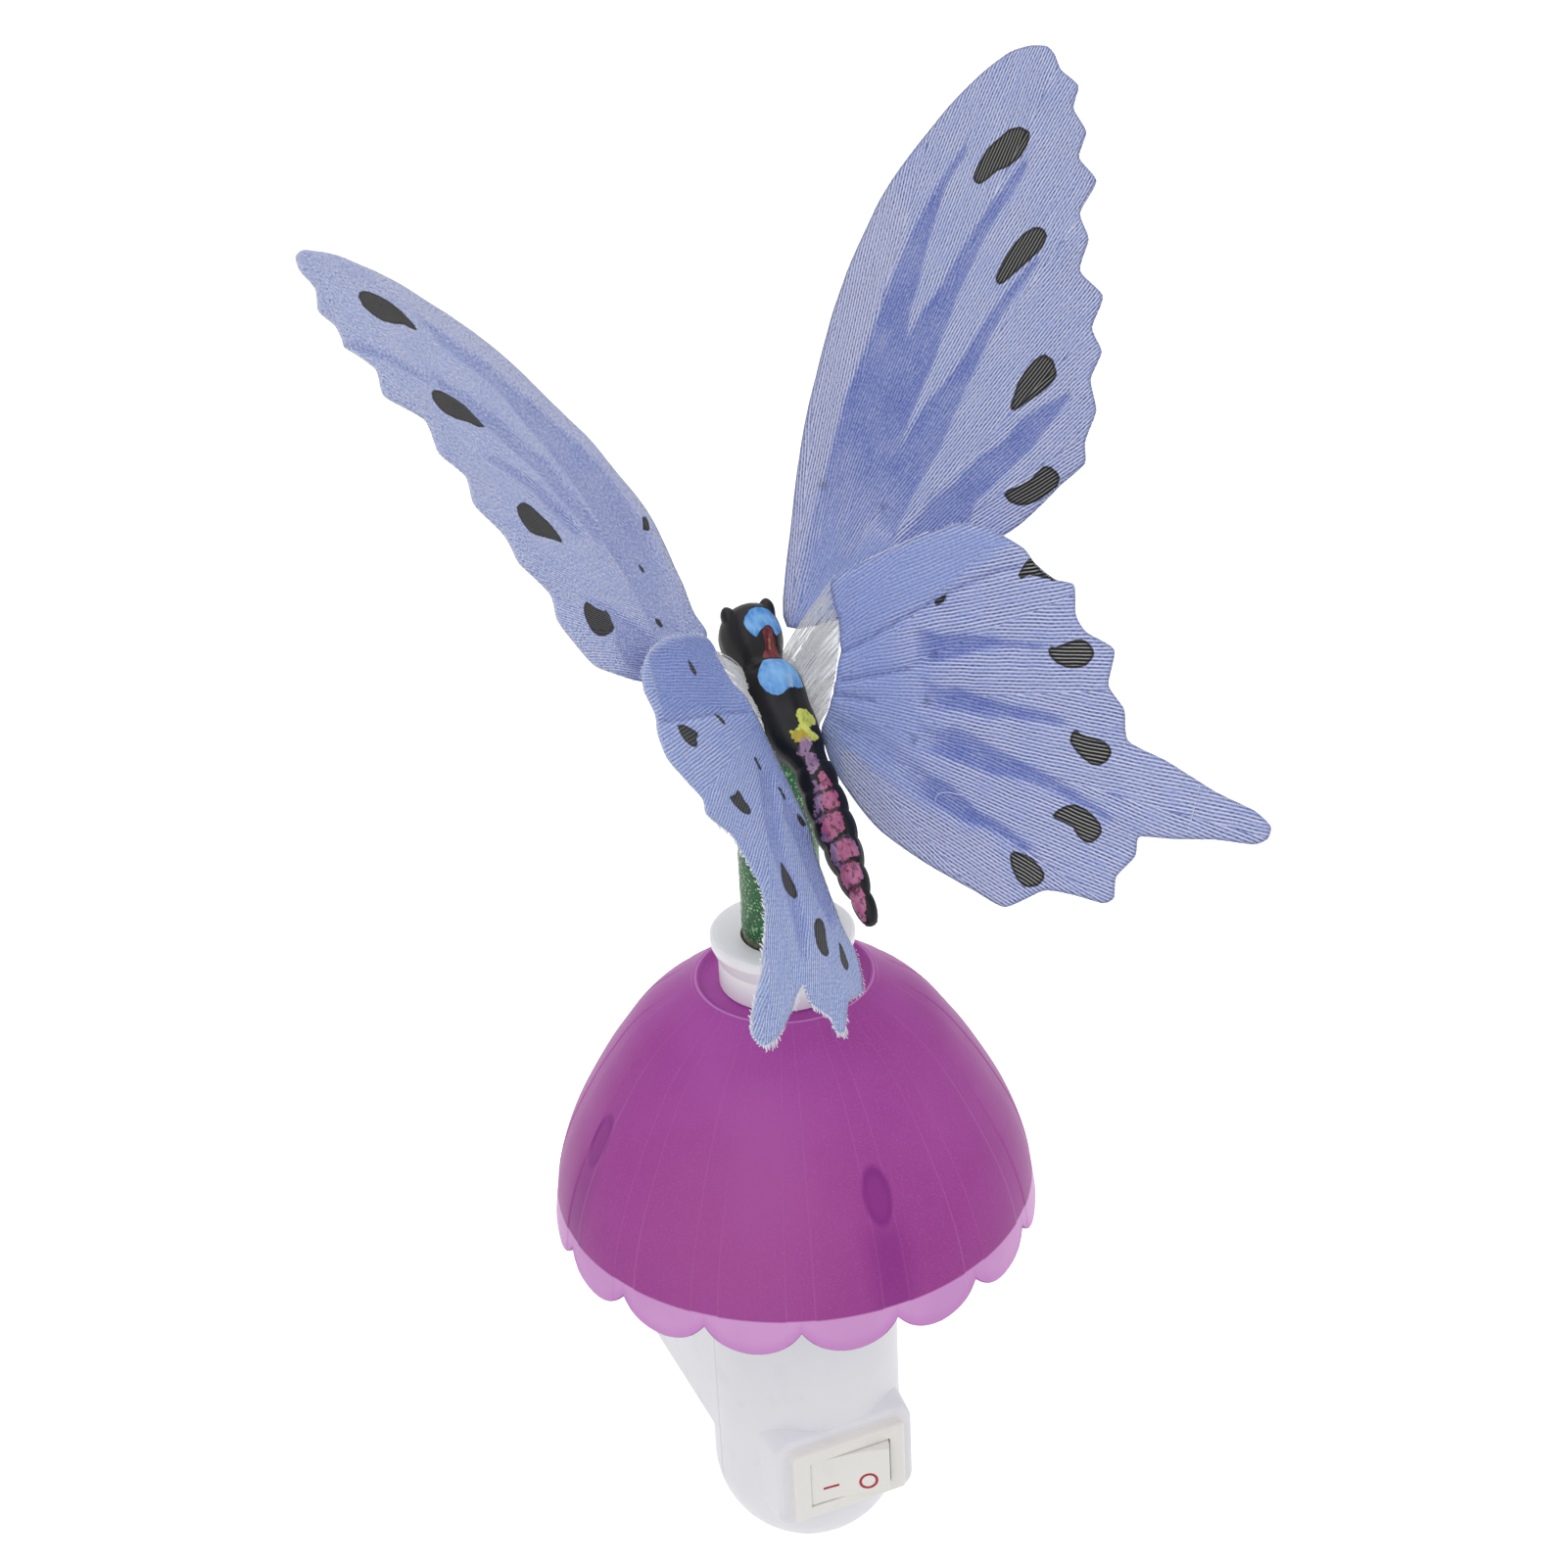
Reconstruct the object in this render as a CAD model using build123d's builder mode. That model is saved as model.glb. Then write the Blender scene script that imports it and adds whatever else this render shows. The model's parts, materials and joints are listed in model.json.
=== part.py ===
from build123d import *
import os
from math import atan2, cos, degrees, radians, sin, sqrt

# A plug-in night light with a butterfly on top.  Millimetres, +Z up.
# The origin is the middle of the plug's wall face, halfway between the two blades.
# +Y points into the wall socket, so the lamp stands on the -Y side of the origin.

os.makedirs("parts", exist_ok=True)

# ---------------------------------------------------------------- driving dimensions

# the lamp's upright axis
LAMP_Y = -31.0

# wall plug
PLUG_BLOCK_WIDTH = 23.7
PLUG_BLOCK_TOP = 14.3
PLUG_BLOCK_BOTTOM = -16.3
PLUG_PLATE_THICKNESS = 2.4
BLADE_SPACING = 12.7
BLADE_THICKNESS = 1.5
BLADE_HEIGHT = 6.35
BLADE_LENGTH = 17.0
BLADE_TAIL = 6.0

# upright tube of the housing
TUBE_RADIUS = 11.85
TUBE_TOP = 21.4
TUBE_ROUND_CENTRE = -21.0
WALL = 1.8

# switch
SWITCH_Z = -15.9
SWITCH_FACE_Y = LAMP_Y - 12.1
BEZEL_WIDTH = 15.0
BEZEL_HEIGHT = 10.45
BEZEL_THICKNESS = 1.3
SWITCH_BODY_WIDTH = 13.0
SWITCH_BODY_HEIGHT = 8.5
SWITCH_BODY_DEPTH = 8.5
WINDOW_WIDTH = 10.8
WINDOW_HEIGHT = 6.9
ROCKER_HALF_WIDTH = 5.0
ROCKER_CROWN = 2.0
ROCKER_TILT = 10.0
CONTACT_TILT = 6.0

# shade
SHADE_TOP = 50.0
SHADE_WALL = 1.5
SHADE_RING_RADIUS = 10.8
CUSP_Z = 20.0
LOBE_DEPTH = 3.0
LOBE_COUNT = 16
SHADE_RADIUS = 29.0
SHADE_PROFILE = [
    (10.8, 49.5), (17.2, 44.4), (21.1, 39.3), (24.1, 34.2),
    (26.55, 29.2), (28.2, 24.1), (29.0, 19.0), (29.0, 16.9),
]
FLOOR_Z = 21.7
FLOOR_THICKNESS = 1.5
FLOOR_RADIUS = 26.4
POST_CIRCLE = 21.0
POST_RADIUS = 2.2

# stem and its cap
CAP_TOP = 56.0
CAP_RADIUS = 8.4
NECK_RADIUS = 7.6
SPIGOT_RADIUS = 6.4
SPIGOT_BOTTOM = 44.6
STEM_RADIUS = 4.8
STEM_SOCKET_Z = 50.6
STEM_TOP = 84.0
BUNDLE_RADIUS = 3.4
TUBE_OUTER_RADIUS = 4.36

# butterfly
BUTTERFLY_PITCH = 38.0
BUTTERFLY_CENTRE = (-0.2, LAMP_Y - 3.0, 89.4)
WING_THICKNESS = 0.6
FOREWING_ROOT = (3.0, 4.0, -1.0)
HINDWING_ROOT = (3.2, -3.5, 0.0)

# running clearance of a pin or screw in its hole, on the radius
FIT = 0.04

# a shape that stands on its work plane, centred
BASE = (Align.CENTER, Align.CENTER, Align.MIN)


def lamp_plane(height):
    """Horizontal work plane centred on the lamp axis."""
    return Plane.XY.offset(height).move(Location((0, LAMP_Y, 0)))


def wall_plane(distance):
    """Upright work plane parallel to the wall, facing the room: X is right, Y is up."""
    return Plane(origin=(0, -distance, 0), x_dir=(1, 0, 0), z_dir=(0, -1, 0))


def save(part, name):
    """Label a finished piece and write its STEP file."""
    part.label = name
    export_step(part, f"parts/{name}.step")


LAMP_AXIS = Axis((0, LAMP_Y, 0), (0, 0, 1))
LAMP_SECTION = Plane(origin=(0, LAMP_Y, 0), x_dir=(1, 0, 0), z_dir=(0, -1, 0))


def revolved(profile):
    """Solid turned about the lamp axis from (radius, z) points."""
    with BuildPart(mode=Mode.PRIVATE) as turned:
        with BuildSketch(LAMP_SECTION):
            with BuildLine():
                Polyline(*profile, close=True)
            make_face()
        revolve(axis=LAMP_AXIS)
    return turned.part


def block(x_range, y_range, z_range):
    """Plain box between two corners."""
    size = [high - low for low, high in (x_range, y_range, z_range)]
    middle = [(low + high) / 2 for low, high in (x_range, y_range, z_range)]
    return Location(middle) * Box(*size, mode=Mode.PRIVATE)


def rod(start, end, radius):
    """Round rod between two points."""
    axis = Vector(*end) - Vector(*start)
    plane = Plane(origin=start, z_dir=axis)
    return plane.location * Cylinder(radius, axis.length, align=BASE, mode=Mode.PRIVATE)


def ball(centre, radius):
    """Round ball."""
    return Location(centre) * Sphere(radius, mode=Mode.PRIVATE)


# ---------------------------------------------------------------- housing shells

INNER_RADIUS = TUBE_RADIUS - WALL
HALF_BLOCK = PLUG_BLOCK_WIDTH / 2
BLOCK_HEIGHT = PLUG_BLOCK_TOP - PLUG_BLOCK_BOTTOM
BLOCK_MIDDLE = (PLUG_BLOCK_TOP + PLUG_BLOCK_BOTTOM) / 2
BOSS_WIDTH = 18.2
BOSS_TOP = -9.4
BOSS_BOTTOM = -22.6
HOUSING_SCREW_Z = (-25.6, 17.4)
POST_REACH = 11.5
SEAM_GAP = 0.02
SCREW_POST_RADIUS = 2.4
SCREW_RADIUS = 0.9
SCREW_HEAD_RADIUS = 1.8
SCREW_HEAD_HEIGHT = 1.2
SCREW_HEAD_DEPTH = 3.0
PLATE_SCREW_Z = (PLUG_BLOCK_TOP - 3.4, PLUG_BLOCK_BOTTOM + 3.4)


def tube_solid(radius):
    """Upright round tube filled in, with a ball end at the bottom."""
    plane = lamp_plane(TUBE_ROUND_CENTRE)
    height = TUBE_TOP - TUBE_ROUND_CENTRE
    upright = plane.location * Cylinder(radius, height, align=BASE, mode=Mode.PRIVATE)
    return upright + ball(tuple(plane.origin), radius)


FRONT_HALF = block((-40, 40), (LAMP_Y - 40, LAMP_Y), (-60, 60))
REAR_HALF = block((-40, 40), (LAMP_Y, LAMP_Y + 40), (-60, 60))

with BuildPart() as front_housing:
    add(tube_solid(TUBE_RADIUS) & FRONT_HALF)
    # flat-faced boss that carries the switch
    with BuildSketch(wall_plane(-SWITCH_FACE_Y)):
        with Locations((0, (BOSS_TOP + BOSS_BOTTOM) / 2)):
            RectangleRounded(BOSS_WIDTH, BOSS_TOP - BOSS_BOTTOM, 2.2)
    extrude(amount=-8.0, taper=-6)
    fillet(front_housing.edges().group_by(Axis.Y)[0], radius=0.7)
    add(tube_solid(INNER_RADIUS), mode=Mode.SUBTRACT)
    # window for the switch body
    with BuildSketch(wall_plane(-SWITCH_FACE_Y)):
        with Locations((0, SWITCH_Z)):
            Rectangle(SWITCH_BODY_WIDTH + 0.1, SWITCH_BODY_HEIGHT + 0.1)
    extrude(amount=-9.0, mode=Mode.SUBTRACT)
    # blind posts that take the two housing screws
    for z in HOUSING_SCREW_Z:
        post = rod((0, LAMP_Y - SEAM_GAP, z), (0, LAMP_Y - POST_REACH, z), SCREW_POST_RADIUS)
        add(post & tube_solid(TUBE_RADIUS - 0.5))
        add(rod((0, LAMP_Y, z), (0, LAMP_Y - 6.6, z), SCREW_RADIUS + FIT), mode=Mode.SUBTRACT)
save(front_housing.part, "front_housing")

with BuildPart() as rear_housing:
    add(tube_solid(TUBE_RADIUS) & REAR_HALF)
    # plug block that reaches back to the wall
    with BuildSketch(wall_plane(PLUG_PLATE_THICKNESS)):
        with Locations((0, BLOCK_MIDDLE)):
            RectangleRounded(PLUG_BLOCK_WIDTH, BLOCK_HEIGHT, 1.2)
    extrude(amount=-LAMP_Y - PLUG_PLATE_THICKNESS)
    add(tube_solid(INNER_RADIUS), mode=Mode.SUBTRACT)
    with BuildSketch(wall_plane(PLUG_PLATE_THICKNESS)):
        with Locations((0, BLOCK_MIDDLE)):
            Rectangle(PLUG_BLOCK_WIDTH - 2 * WALL, BLOCK_HEIGHT - 2 * WALL)
    extrude(amount=-LAMP_Y - PLUG_PLATE_THICKNESS - 3.0, mode=Mode.SUBTRACT)
    # rails that hold the circuit board by its two upright edges
    for side in (-1, 1):
        for y in (-16.2, -12.5):
            x_edge = side * (HALF_BLOCK - WALL)
            add(block(sorted((x_edge, x_edge - side * 0.9)), (y, y + 1.0), (-13.0, 11.0)))
    # hollow posts that the two housing screws pass through
    for z in HOUSING_SCREW_Z:
        post = rod((0, LAMP_Y + SEAM_GAP, z), (0, LAMP_Y + POST_REACH, z), SCREW_POST_RADIUS)
        add(post & tube_solid(TUBE_RADIUS - 0.3))
    for z in HOUSING_SCREW_Z:
        add(rod((0, LAMP_Y, z), (0, LAMP_Y + 13.0, z), SCREW_RADIUS + 0.2), mode=Mode.SUBTRACT)
        head = (0, LAMP_Y + SCREW_HEAD_DEPTH, z)
        add(rod(head, (0, LAMP_Y + 13.0, z), SCREW_HEAD_RADIUS + 0.15), mode=Mode.SUBTRACT)
    # posts for the screws that hold the plug plate
    for z in PLATE_SCREW_Z:
        outer_z = z + (2.6 if z > 0 else -2.6)
        post_y = (-10.0, -PLUG_PLATE_THICKNESS)
        add(block((-SCREW_POST_RADIUS, SCREW_POST_RADIUS), post_y, sorted((z, outer_z))))
        add(rod((0, post_y[0], z), (0, post_y[1], z), SCREW_POST_RADIUS))
        add(rod((0, -9.0, z), (0, 0, z), SCREW_RADIUS + FIT), mode=Mode.SUBTRACT)
save(rear_housing.part, "rear_housing")


def panhead_screw(length):
    """Self-tapping screw along +Z: the head's underside is at zero and the shank points down."""
    head_height = SCREW_HEAD_HEIGHT
    with BuildPart(mode=Mode.PRIVATE) as screw:
        with BuildSketch(Plane.XZ):
            with BuildLine():
                Polyline(
                    (0, head_height), (SCREW_HEAD_RADIUS * 0.6, head_height),
                    (SCREW_HEAD_RADIUS, head_height * 0.45), (SCREW_HEAD_RADIUS, 0),
                    (SCREW_RADIUS, 0), (SCREW_RADIUS, 1.0 - length), (0, -length), close=True,
                )
            make_face()
        revolve(axis=Axis.Z)
        for long_x, long_y in ((2.2, 0.45), (0.45, 2.2)):
            slot = Box(long_x, long_y, 0.6, mode=Mode.PRIVATE)
            add(Location((0, 0, head_height - 0.2)) * slot, mode=Mode.SUBTRACT)
    return screw.part


def screw_at(position, outward, length):
    """Screw with its head's underside at a position, and its head on the outward side."""
    return Plane(origin=position, z_dir=outward).location * panhead_screw(length)


with BuildPart() as housing_screws:
    for z in HOUSING_SCREW_Z:
        add(screw_at((0, LAMP_Y + SCREW_HEAD_DEPTH, z), (0, 1, 0), 9.0))
save(housing_screws.part, "housing_screws")

# ---------------------------------------------------------------- wall plug

PLATE_HEAD_Y = -1.4

with BuildPart() as plug_plate:
    with BuildSketch(wall_plane(0)):
        with Locations((0, BLOCK_MIDDLE)):
            RectangleRounded(PLUG_BLOCK_WIDTH, BLOCK_HEIGHT, 1.2)
    extrude(amount=PLUG_PLATE_THICKNESS)
    # thick pad behind the plate that grips the blades
    with BuildSketch(wall_plane(PLUG_PLATE_THICKNESS)):
        Rectangle(BLADE_SPACING + 4.6, BLADE_HEIGHT + 3.2)
    extrude(amount=2.6)
    for side in (-1, 1):
        x_middle = side * BLADE_SPACING / 2
        half_x = BLADE_THICKNESS / 2 + 0.05
        half_z = BLADE_HEIGHT / 2 + 0.05
        slot = block((x_middle - half_x, x_middle + half_x), (-8, 1), (-half_z, half_z))
        add(slot, mode=Mode.SUBTRACT)
    for z in PLATE_SCREW_Z:
        add(rod((0, -4, z), (0, 1, z), SCREW_RADIUS + 0.2), mode=Mode.SUBTRACT)
        add(rod((0, PLATE_HEAD_Y, z), (0, 1, z), SCREW_HEAD_RADIUS + 0.2), mode=Mode.SUBTRACT)
save(plug_plate.part, "plug_plate")

with BuildPart() as plate_screws:
    for z in PLATE_SCREW_Z:
        add(screw_at((0, PLATE_HEAD_Y, z), (0, 1, 0), 6.5))
save(plate_screws.part, "plate_screws")

with BuildPart() as plug_blades:
    for side in (-1, 1):
        blade_side = Plane(origin=(side * BLADE_SPACING / 2, 0, 0), x_dir=(0, 1, 0), z_dir=(1, 0, 0))
        with BuildSketch(blade_side) as blade_outline:
            with Locations(((BLADE_LENGTH - BLADE_TAIL) / 2 - 1.0, 0)):
                Rectangle(BLADE_LENGTH + BLADE_TAIL + 2.0, BLADE_HEIGHT)
            chamfer(blade_outline.vertices().group_by(Axis.Y)[-1], length=1.6)
            with Locations((BLADE_LENGTH - 4.4, 0)):
                Circle(1.6, mode=Mode.SUBTRACT)
        extrude(amount=BLADE_THICKNESS / 2, both=True)
save(plug_blades.part, "plug_blades")

# ---------------------------------------------------------------- rocker switch
# The rocker's pivot axis is upright, level with the boss face.

PIVOT = (0, SWITCH_FACE_Y, SWITCH_Z)
PIVOT_RADIUS = 0.8
ROCKER_HEIGHT = WINDOW_HEIGHT - 0.3
PLUNGER_RADIUS = 0.9
PLUNGER_REACH = 4.0
CONTACT_DEPTH = 4.6
TERMINAL_X = (0, 4.2)
TERMINAL_END_Y = SWITCH_FACE_Y + 12.6

with BuildPart() as switch_body:
    with BuildSketch(wall_plane(-SWITCH_FACE_Y)):
        with Locations((0, SWITCH_Z)):
            RectangleRounded(BEZEL_WIDTH, BEZEL_HEIGHT, 0.5)
    extrude(amount=BEZEL_THICKNESS)
    fillet(switch_body.edges().group_by(Axis.Y)[0], radius=0.35)
    with BuildSketch(wall_plane(-SWITCH_FACE_Y)):
        with Locations((0, SWITCH_Z)):
            Rectangle(SWITCH_BODY_WIDTH, SWITCH_BODY_HEIGHT)
    extrude(amount=-SWITCH_BODY_DEPTH)
    with BuildSketch(wall_plane(-SWITCH_FACE_Y).offset(BEZEL_THICKNESS)):
        with Locations((0, SWITCH_Z)):
            Rectangle(WINDOW_WIDTH, WINDOW_HEIGHT)
    extrude(amount=-SWITCH_BODY_DEPTH, mode=Mode.SUBTRACT)
    # bearings of the rocker, and slots for the two terminals in the floor
    half_bearing = SWITCH_BODY_HEIGHT / 2 - 0.3
    low = (0, SWITCH_FACE_Y, SWITCH_Z - half_bearing)
    high = (0, SWITCH_FACE_Y, SWITCH_Z + half_bearing)
    add(rod(low, high, PIVOT_RADIUS + FIT), mode=Mode.SUBTRACT)
    for x in TERMINAL_X:
        floor_y = (SWITCH_FACE_Y + 6, SWITCH_FACE_Y + 10)
        slot = block((x - 0.45, x + 0.45), floor_y, (SWITCH_Z - 1.65, SWITCH_Z + 1.65))
        add(slot, mode=Mode.SUBTRACT)
save(switch_body.part, "switch_body")

CORNER_RADIUS = sqrt(ROCKER_HALF_WIDTH ** 2 + ROCKER_CROWN ** 2)
CROWN_ANGLE = degrees(atan2(ROCKER_CROWN, ROCKER_HALF_WIDTH))
SKIRT_ANGLE = -8.0


def around_pivot(angle):
    """Point on the rocker's end circle, seen from above with the room at +Y of the sketch."""
    return (CORNER_RADIUS * cos(radians(angle)), CORNER_RADIUS * sin(radians(angle)))


with BuildPart() as rocker_level:
    rocker_plane = Plane(origin=(0, SWITCH_FACE_Y, SWITCH_Z), x_dir=(1, 0, 0), z_dir=(0, 0, -1))
    with BuildSketch(rocker_plane):
        with BuildLine():
            right_top = around_pivot(CROWN_ANGLE)
            right_middle = around_pivot((CROWN_ANGLE + SKIRT_ANGLE) / 2)
            right_low = around_pivot(SKIRT_ANGLE)
            left_top = (-right_top[0], right_top[1])
            left_middle = (-right_middle[0], right_middle[1])
            left_low = (-right_low[0], right_low[1])
            ThreePointArc(left_top, (0, ROCKER_CROWN - 0.45), right_top)
            ThreePointArc(right_top, right_middle, right_low)
            Polyline(right_low, (1.9, -1.9), (-1.9, -1.9), left_low)
            ThreePointArc(left_low, left_middle, left_top)
        make_face()
    extrude(amount=ROCKER_HEIGHT / 2, both=True)
    fillet(rocker_level.edges().filter_by(Axis.Z).sort_by(Axis.Y)[0:2], radius=0.3)
    half_pivot = half_bearing - 0.1
    pivot_low = (0, SWITCH_FACE_Y, SWITCH_Z - half_pivot)
    pivot_high = (0, SWITCH_FACE_Y, SWITCH_Z + half_pivot)
    add(rod(pivot_low, pivot_high, PIVOT_RADIUS))
    # blind bore for the spring plunger
    bore_low = (0, SWITCH_FACE_Y + 0.9, SWITCH_Z)
    bore_high = (0, SWITCH_FACE_Y + 2.5, SWITCH_Z)
    add(rod(bore_low, bore_high, PLUNGER_RADIUS + FIT), mode=Mode.SUBTRACT)

pivot_axis = Axis(PIVOT, (0, 0, 1))
with BuildPart() as switch_rocker:
    add(rocker_level.part.rotate(pivot_axis, -ROCKER_TILT))
save(switch_rocker.part, "switch_rocker")

with BuildPart() as plunger_level:
    tip = (0, SWITCH_FACE_Y + PLUNGER_REACH - 0.5, SWITCH_Z)
    add(rod((0, SWITCH_FACE_Y + 1.0, SWITCH_Z), tip, PLUNGER_RADIUS))
    nose = block((-2, 2), (tip[1] - 0.4, tip[1] + 0.5), (SWITCH_Z - 2, SWITCH_Z + 2))
    add(ball(tip, PLUNGER_RADIUS) & nose)
with BuildPart() as switch_plunger:
    add(plunger_level.part.rotate(pivot_axis, -ROCKER_TILT))
save(switch_plunger.part, "switch_plunger")

CONTACT_PIVOT = (0, SWITCH_FACE_Y + CONTACT_DEPTH, SWITCH_Z)
with BuildPart() as contact_level:
    add(Location(CONTACT_PIVOT) * Box(9.4, 0.4, 3.0, mode=Mode.PRIVATE))
    button_x = TERMINAL_X[1]
    button_end = (button_x, CONTACT_PIVOT[1] + 0.6, SWITCH_Z)
    add(rod((button_x, CONTACT_PIVOT[1], SWITCH_Z), button_end, 0.8))
with BuildPart() as switch_contact:
    add(contact_level.part.rotate(Axis(CONTACT_PIVOT, (0, 0, 1)), CONTACT_TILT))
save(switch_contact.part, "switch_contact")

with BuildPart() as switch_terminals:
    for x, head in zip(TERMINAL_X, (CONTACT_DEPTH + 0.3, CONTACT_DEPTH + 1.5)):
        y_range = (SWITCH_FACE_Y + head, TERMINAL_END_Y)
        add(block((x - 0.4, x + 0.4), y_range, (SWITCH_Z - 1.6, SWITCH_Z + 1.6)))
save(switch_terminals.part, "switch_terminals")

# ---------------------------------------------------------------- electronics

BOARD_Y = (-15.1, -13.6)
BOARD_HALF_WIDTH = 9.7
BOARD_Z = (-12.0, 10.4)
BOARD_FRONT = BOARD_Y[0]
WIRE_RADIUS = 0.6

with BuildPart() as circuit_board:
    add(block((-BOARD_HALF_WIDTH, BOARD_HALF_WIDTH), BOARD_Y, BOARD_Z))
    for x in (-7.5, 7.5):
        for z in (-9.0, 7.6):
            add(rod((x, -16, z), (x, -12, z), 0.5), mode=Mode.SUBTRACT)
save(circuit_board.part, "circuit_board")

with BuildPart() as film_capacitor:
    add(block((-5.0, 5.0), (BOARD_FRONT - 5.0, BOARD_FRONT - 0.05), (1.4, 9.0)))
    fillet(film_capacitor.edges().filter_by(Axis.Y), radius=0.8)
save(film_capacitor.part, "film_capacitor")

with BuildPart() as bridge_rectifier:
    add(block((-6.6, -1.8), (BOARD_FRONT - 2.6, BOARD_FRONT - 0.4), (-4.6, -0.6)))
    for x in (-6.0, -2.4):
        for z in (-3.8, -1.4):
            add(block((x - 0.3, x + 0.3), (BOARD_FRONT - 0.4, BOARD_FRONT), (z - 0.3, z + 0.3)))
save(bridge_rectifier.part, "bridge_rectifier")

with BuildPart() as smoothing_capacitor:
    add(rod((3.2, BOARD_FRONT - 0.05, -2.6), (3.2, BOARD_FRONT - 6.6, -2.6), 2.5))
    fillet(smoothing_capacitor.edges().group_by(Axis.Y)[0], radius=0.5)
save(smoothing_capacitor.part, "smoothing_capacitor")

with BuildPart() as resistors:
    for z in (-7.0, -9.8):
        add(rod((-3.2, BOARD_FRONT - 1.5, z), (3.2, BOARD_FRONT - 1.5, z), 1.1))
        for side in (-1, 1):
            add(rod((side * 3.2, BOARD_FRONT - 1.5, z), (side * 4.8, BOARD_FRONT - 1.5, z), 0.3))
            add(rod((side * 4.6, BOARD_FRONT - 1.8, z), (side * 4.6, BOARD_FRONT, z), 0.3))
save(resistors.part, "resistors")


def wire(points, radius, bend):
    """Insulated wire along straight runs joined by round bends."""
    with BuildPart(mode=Mode.PRIVATE) as run:
        with BuildLine() as route:
            FilletPolyline(*points, radius=bend)
        start = Plane(origin=route.line @ 0, z_dir=route.line % 0)
        with BuildSketch(start):
            Circle(radius)
        sweep()
    return run.part


with BuildPart() as mains_wires:
    left_blade = -BLADE_SPACING / 2
    right_blade = BLADE_SPACING / 2
    blade_end_y = -BLADE_TAIL - 2.0
    to_board = [
        (left_blade, blade_end_y, 1.5), (left_blade, -10.8, 1.5),
        (left_blade, -10.8, 5.4), (left_blade, BOARD_Y[1], 5.4),
    ]
    # past the board's lower edge and on to the switch
    to_switch = [
        (right_blade, blade_end_y, -1.5), (right_blade, -11.0, -1.5), (right_blade, -11.0, -13.2),
        (4.2, -17.0, -13.3), (4.2, -22.6, -13.3), (4.2, -27.2, SWITCH_Z), (4.2, TERMINAL_END_Y, SWITCH_Z),
    ]
    add(wire(to_board, WIRE_RADIUS, 1.2))
    add(wire(to_switch, WIRE_RADIUS, 1.2))
save(mains_wires.part, "mains_wires")

with BuildPart() as switch_wire:
    from_switch = [
        (0, TERMINAL_END_Y, SWITCH_Z), (0, -25.5, SWITCH_Z), (-7.6, -22.0, -9.0), (-7.6, BOARD_FRONT, -9.0),
    ]
    add(wire(from_switch, WIRE_RADIUS, 1.5))
save(switch_wire.part, "switch_wire")

# ---------------------------------------------------------------- shade floor and lamp

COLLAR_RADIUS = INNER_RADIUS - 0.05
COLLAR_BOTTOM = 20.0
SOCKET_RADIUS = 4.2
LED_RADIUS = 2.5
LED_BASE_Z = 28.0
WIRE_HOLE_RADIUS = 3.7
LED_LEG_X = 1.02
LED_LEG_END = 24.6
# middles of the four posts under the shade
POSTS = [
    (POST_CIRCLE * sin(radians(angle)), LAMP_Y - POST_CIRCLE * cos(radians(angle)))
    for angle in (0, 90, 180, 270)
]

with BuildPart() as shade_floor:
    add(revolved([
        (WIRE_HOLE_RADIUS, FLOOR_Z), (COLLAR_RADIUS - 1.6, FLOOR_Z), (COLLAR_RADIUS - 1.6, COLLAR_BOTTOM),
        (COLLAR_RADIUS, COLLAR_BOTTOM), (COLLAR_RADIUS, FLOOR_Z), (FLOOR_RADIUS, FLOOR_Z),
        (FLOOR_RADIUS, FLOOR_Z + FLOOR_THICKNESS), (WIRE_HOLE_RADIUS, FLOOR_Z + FLOOR_THICKNESS),
    ]))
    for x, y in POSTS:
        add(rod((x, y, 20), (x, y, 25), SCREW_RADIUS + 0.2), mode=Mode.SUBTRACT)
save(shade_floor.part, "shade_floor")

with BuildPart() as led_holder:
    add(revolved([
        (3.2, FLOOR_Z + FLOOR_THICKNESS), (6.2, FLOOR_Z + FLOOR_THICKNESS), (6.2, 24.4),
        (SOCKET_RADIUS, 25.4), (SOCKET_RADIUS, LED_BASE_Z), (1.7, LED_BASE_Z), (1.7, 26.0), (3.2, 26.0),
    ]))
save(led_holder.part, "led_holder")

with BuildPart() as led:
    add(rod((0, LAMP_Y, LED_BASE_Z), (0, LAMP_Y, LED_BASE_Z + 1.0), LED_RADIUS + 0.4))
    add(rod((0, LAMP_Y, LED_BASE_Z), (0, LAMP_Y, LED_BASE_Z + 5.6), LED_RADIUS))
    add(ball((0, LAMP_Y, LED_BASE_Z + 5.6), LED_RADIUS))
    for x in (-LED_LEG_X, LED_LEG_X):
        add(rod((x, LAMP_Y, LED_BASE_Z + 0.1), (x, LAMP_Y, LED_LEG_END), 0.25))
save(led.part, "led")

with BuildPart() as led_wires:
    for side in (-1, 1):
        down_to_board = [
            (side * LED_LEG_X, LAMP_Y, LED_LEG_END), (side * LED_LEG_X, LAMP_Y, LED_LEG_END - 0.9),
            (side * 3.1, LAMP_Y, 21.6), (side * 3.1, LAMP_Y, 13.0),
            (side * 7.0, LAMP_Y + 4.0, 8.0), (side * 7.0, BOARD_FRONT, 8.0),
        ]
        add(wire(down_to_board, 0.5, 1.0))
save(led_wires.part, "led_wires")

# ---------------------------------------------------------------- shade

LOBE_ANGLE = 360 / LOBE_COUNT
LOBE_HALF_WIDTH = SHADE_RADIUS * sin(radians(LOBE_ANGLE / 2))
LOBE_BOTTOM = CUSP_Z - LOBE_DEPTH
INNER_PROFILE = [(r - SHADE_WALL * 0.92, z - 0.62) for r, z in SHADE_PROFILE[1:-1]]


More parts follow.
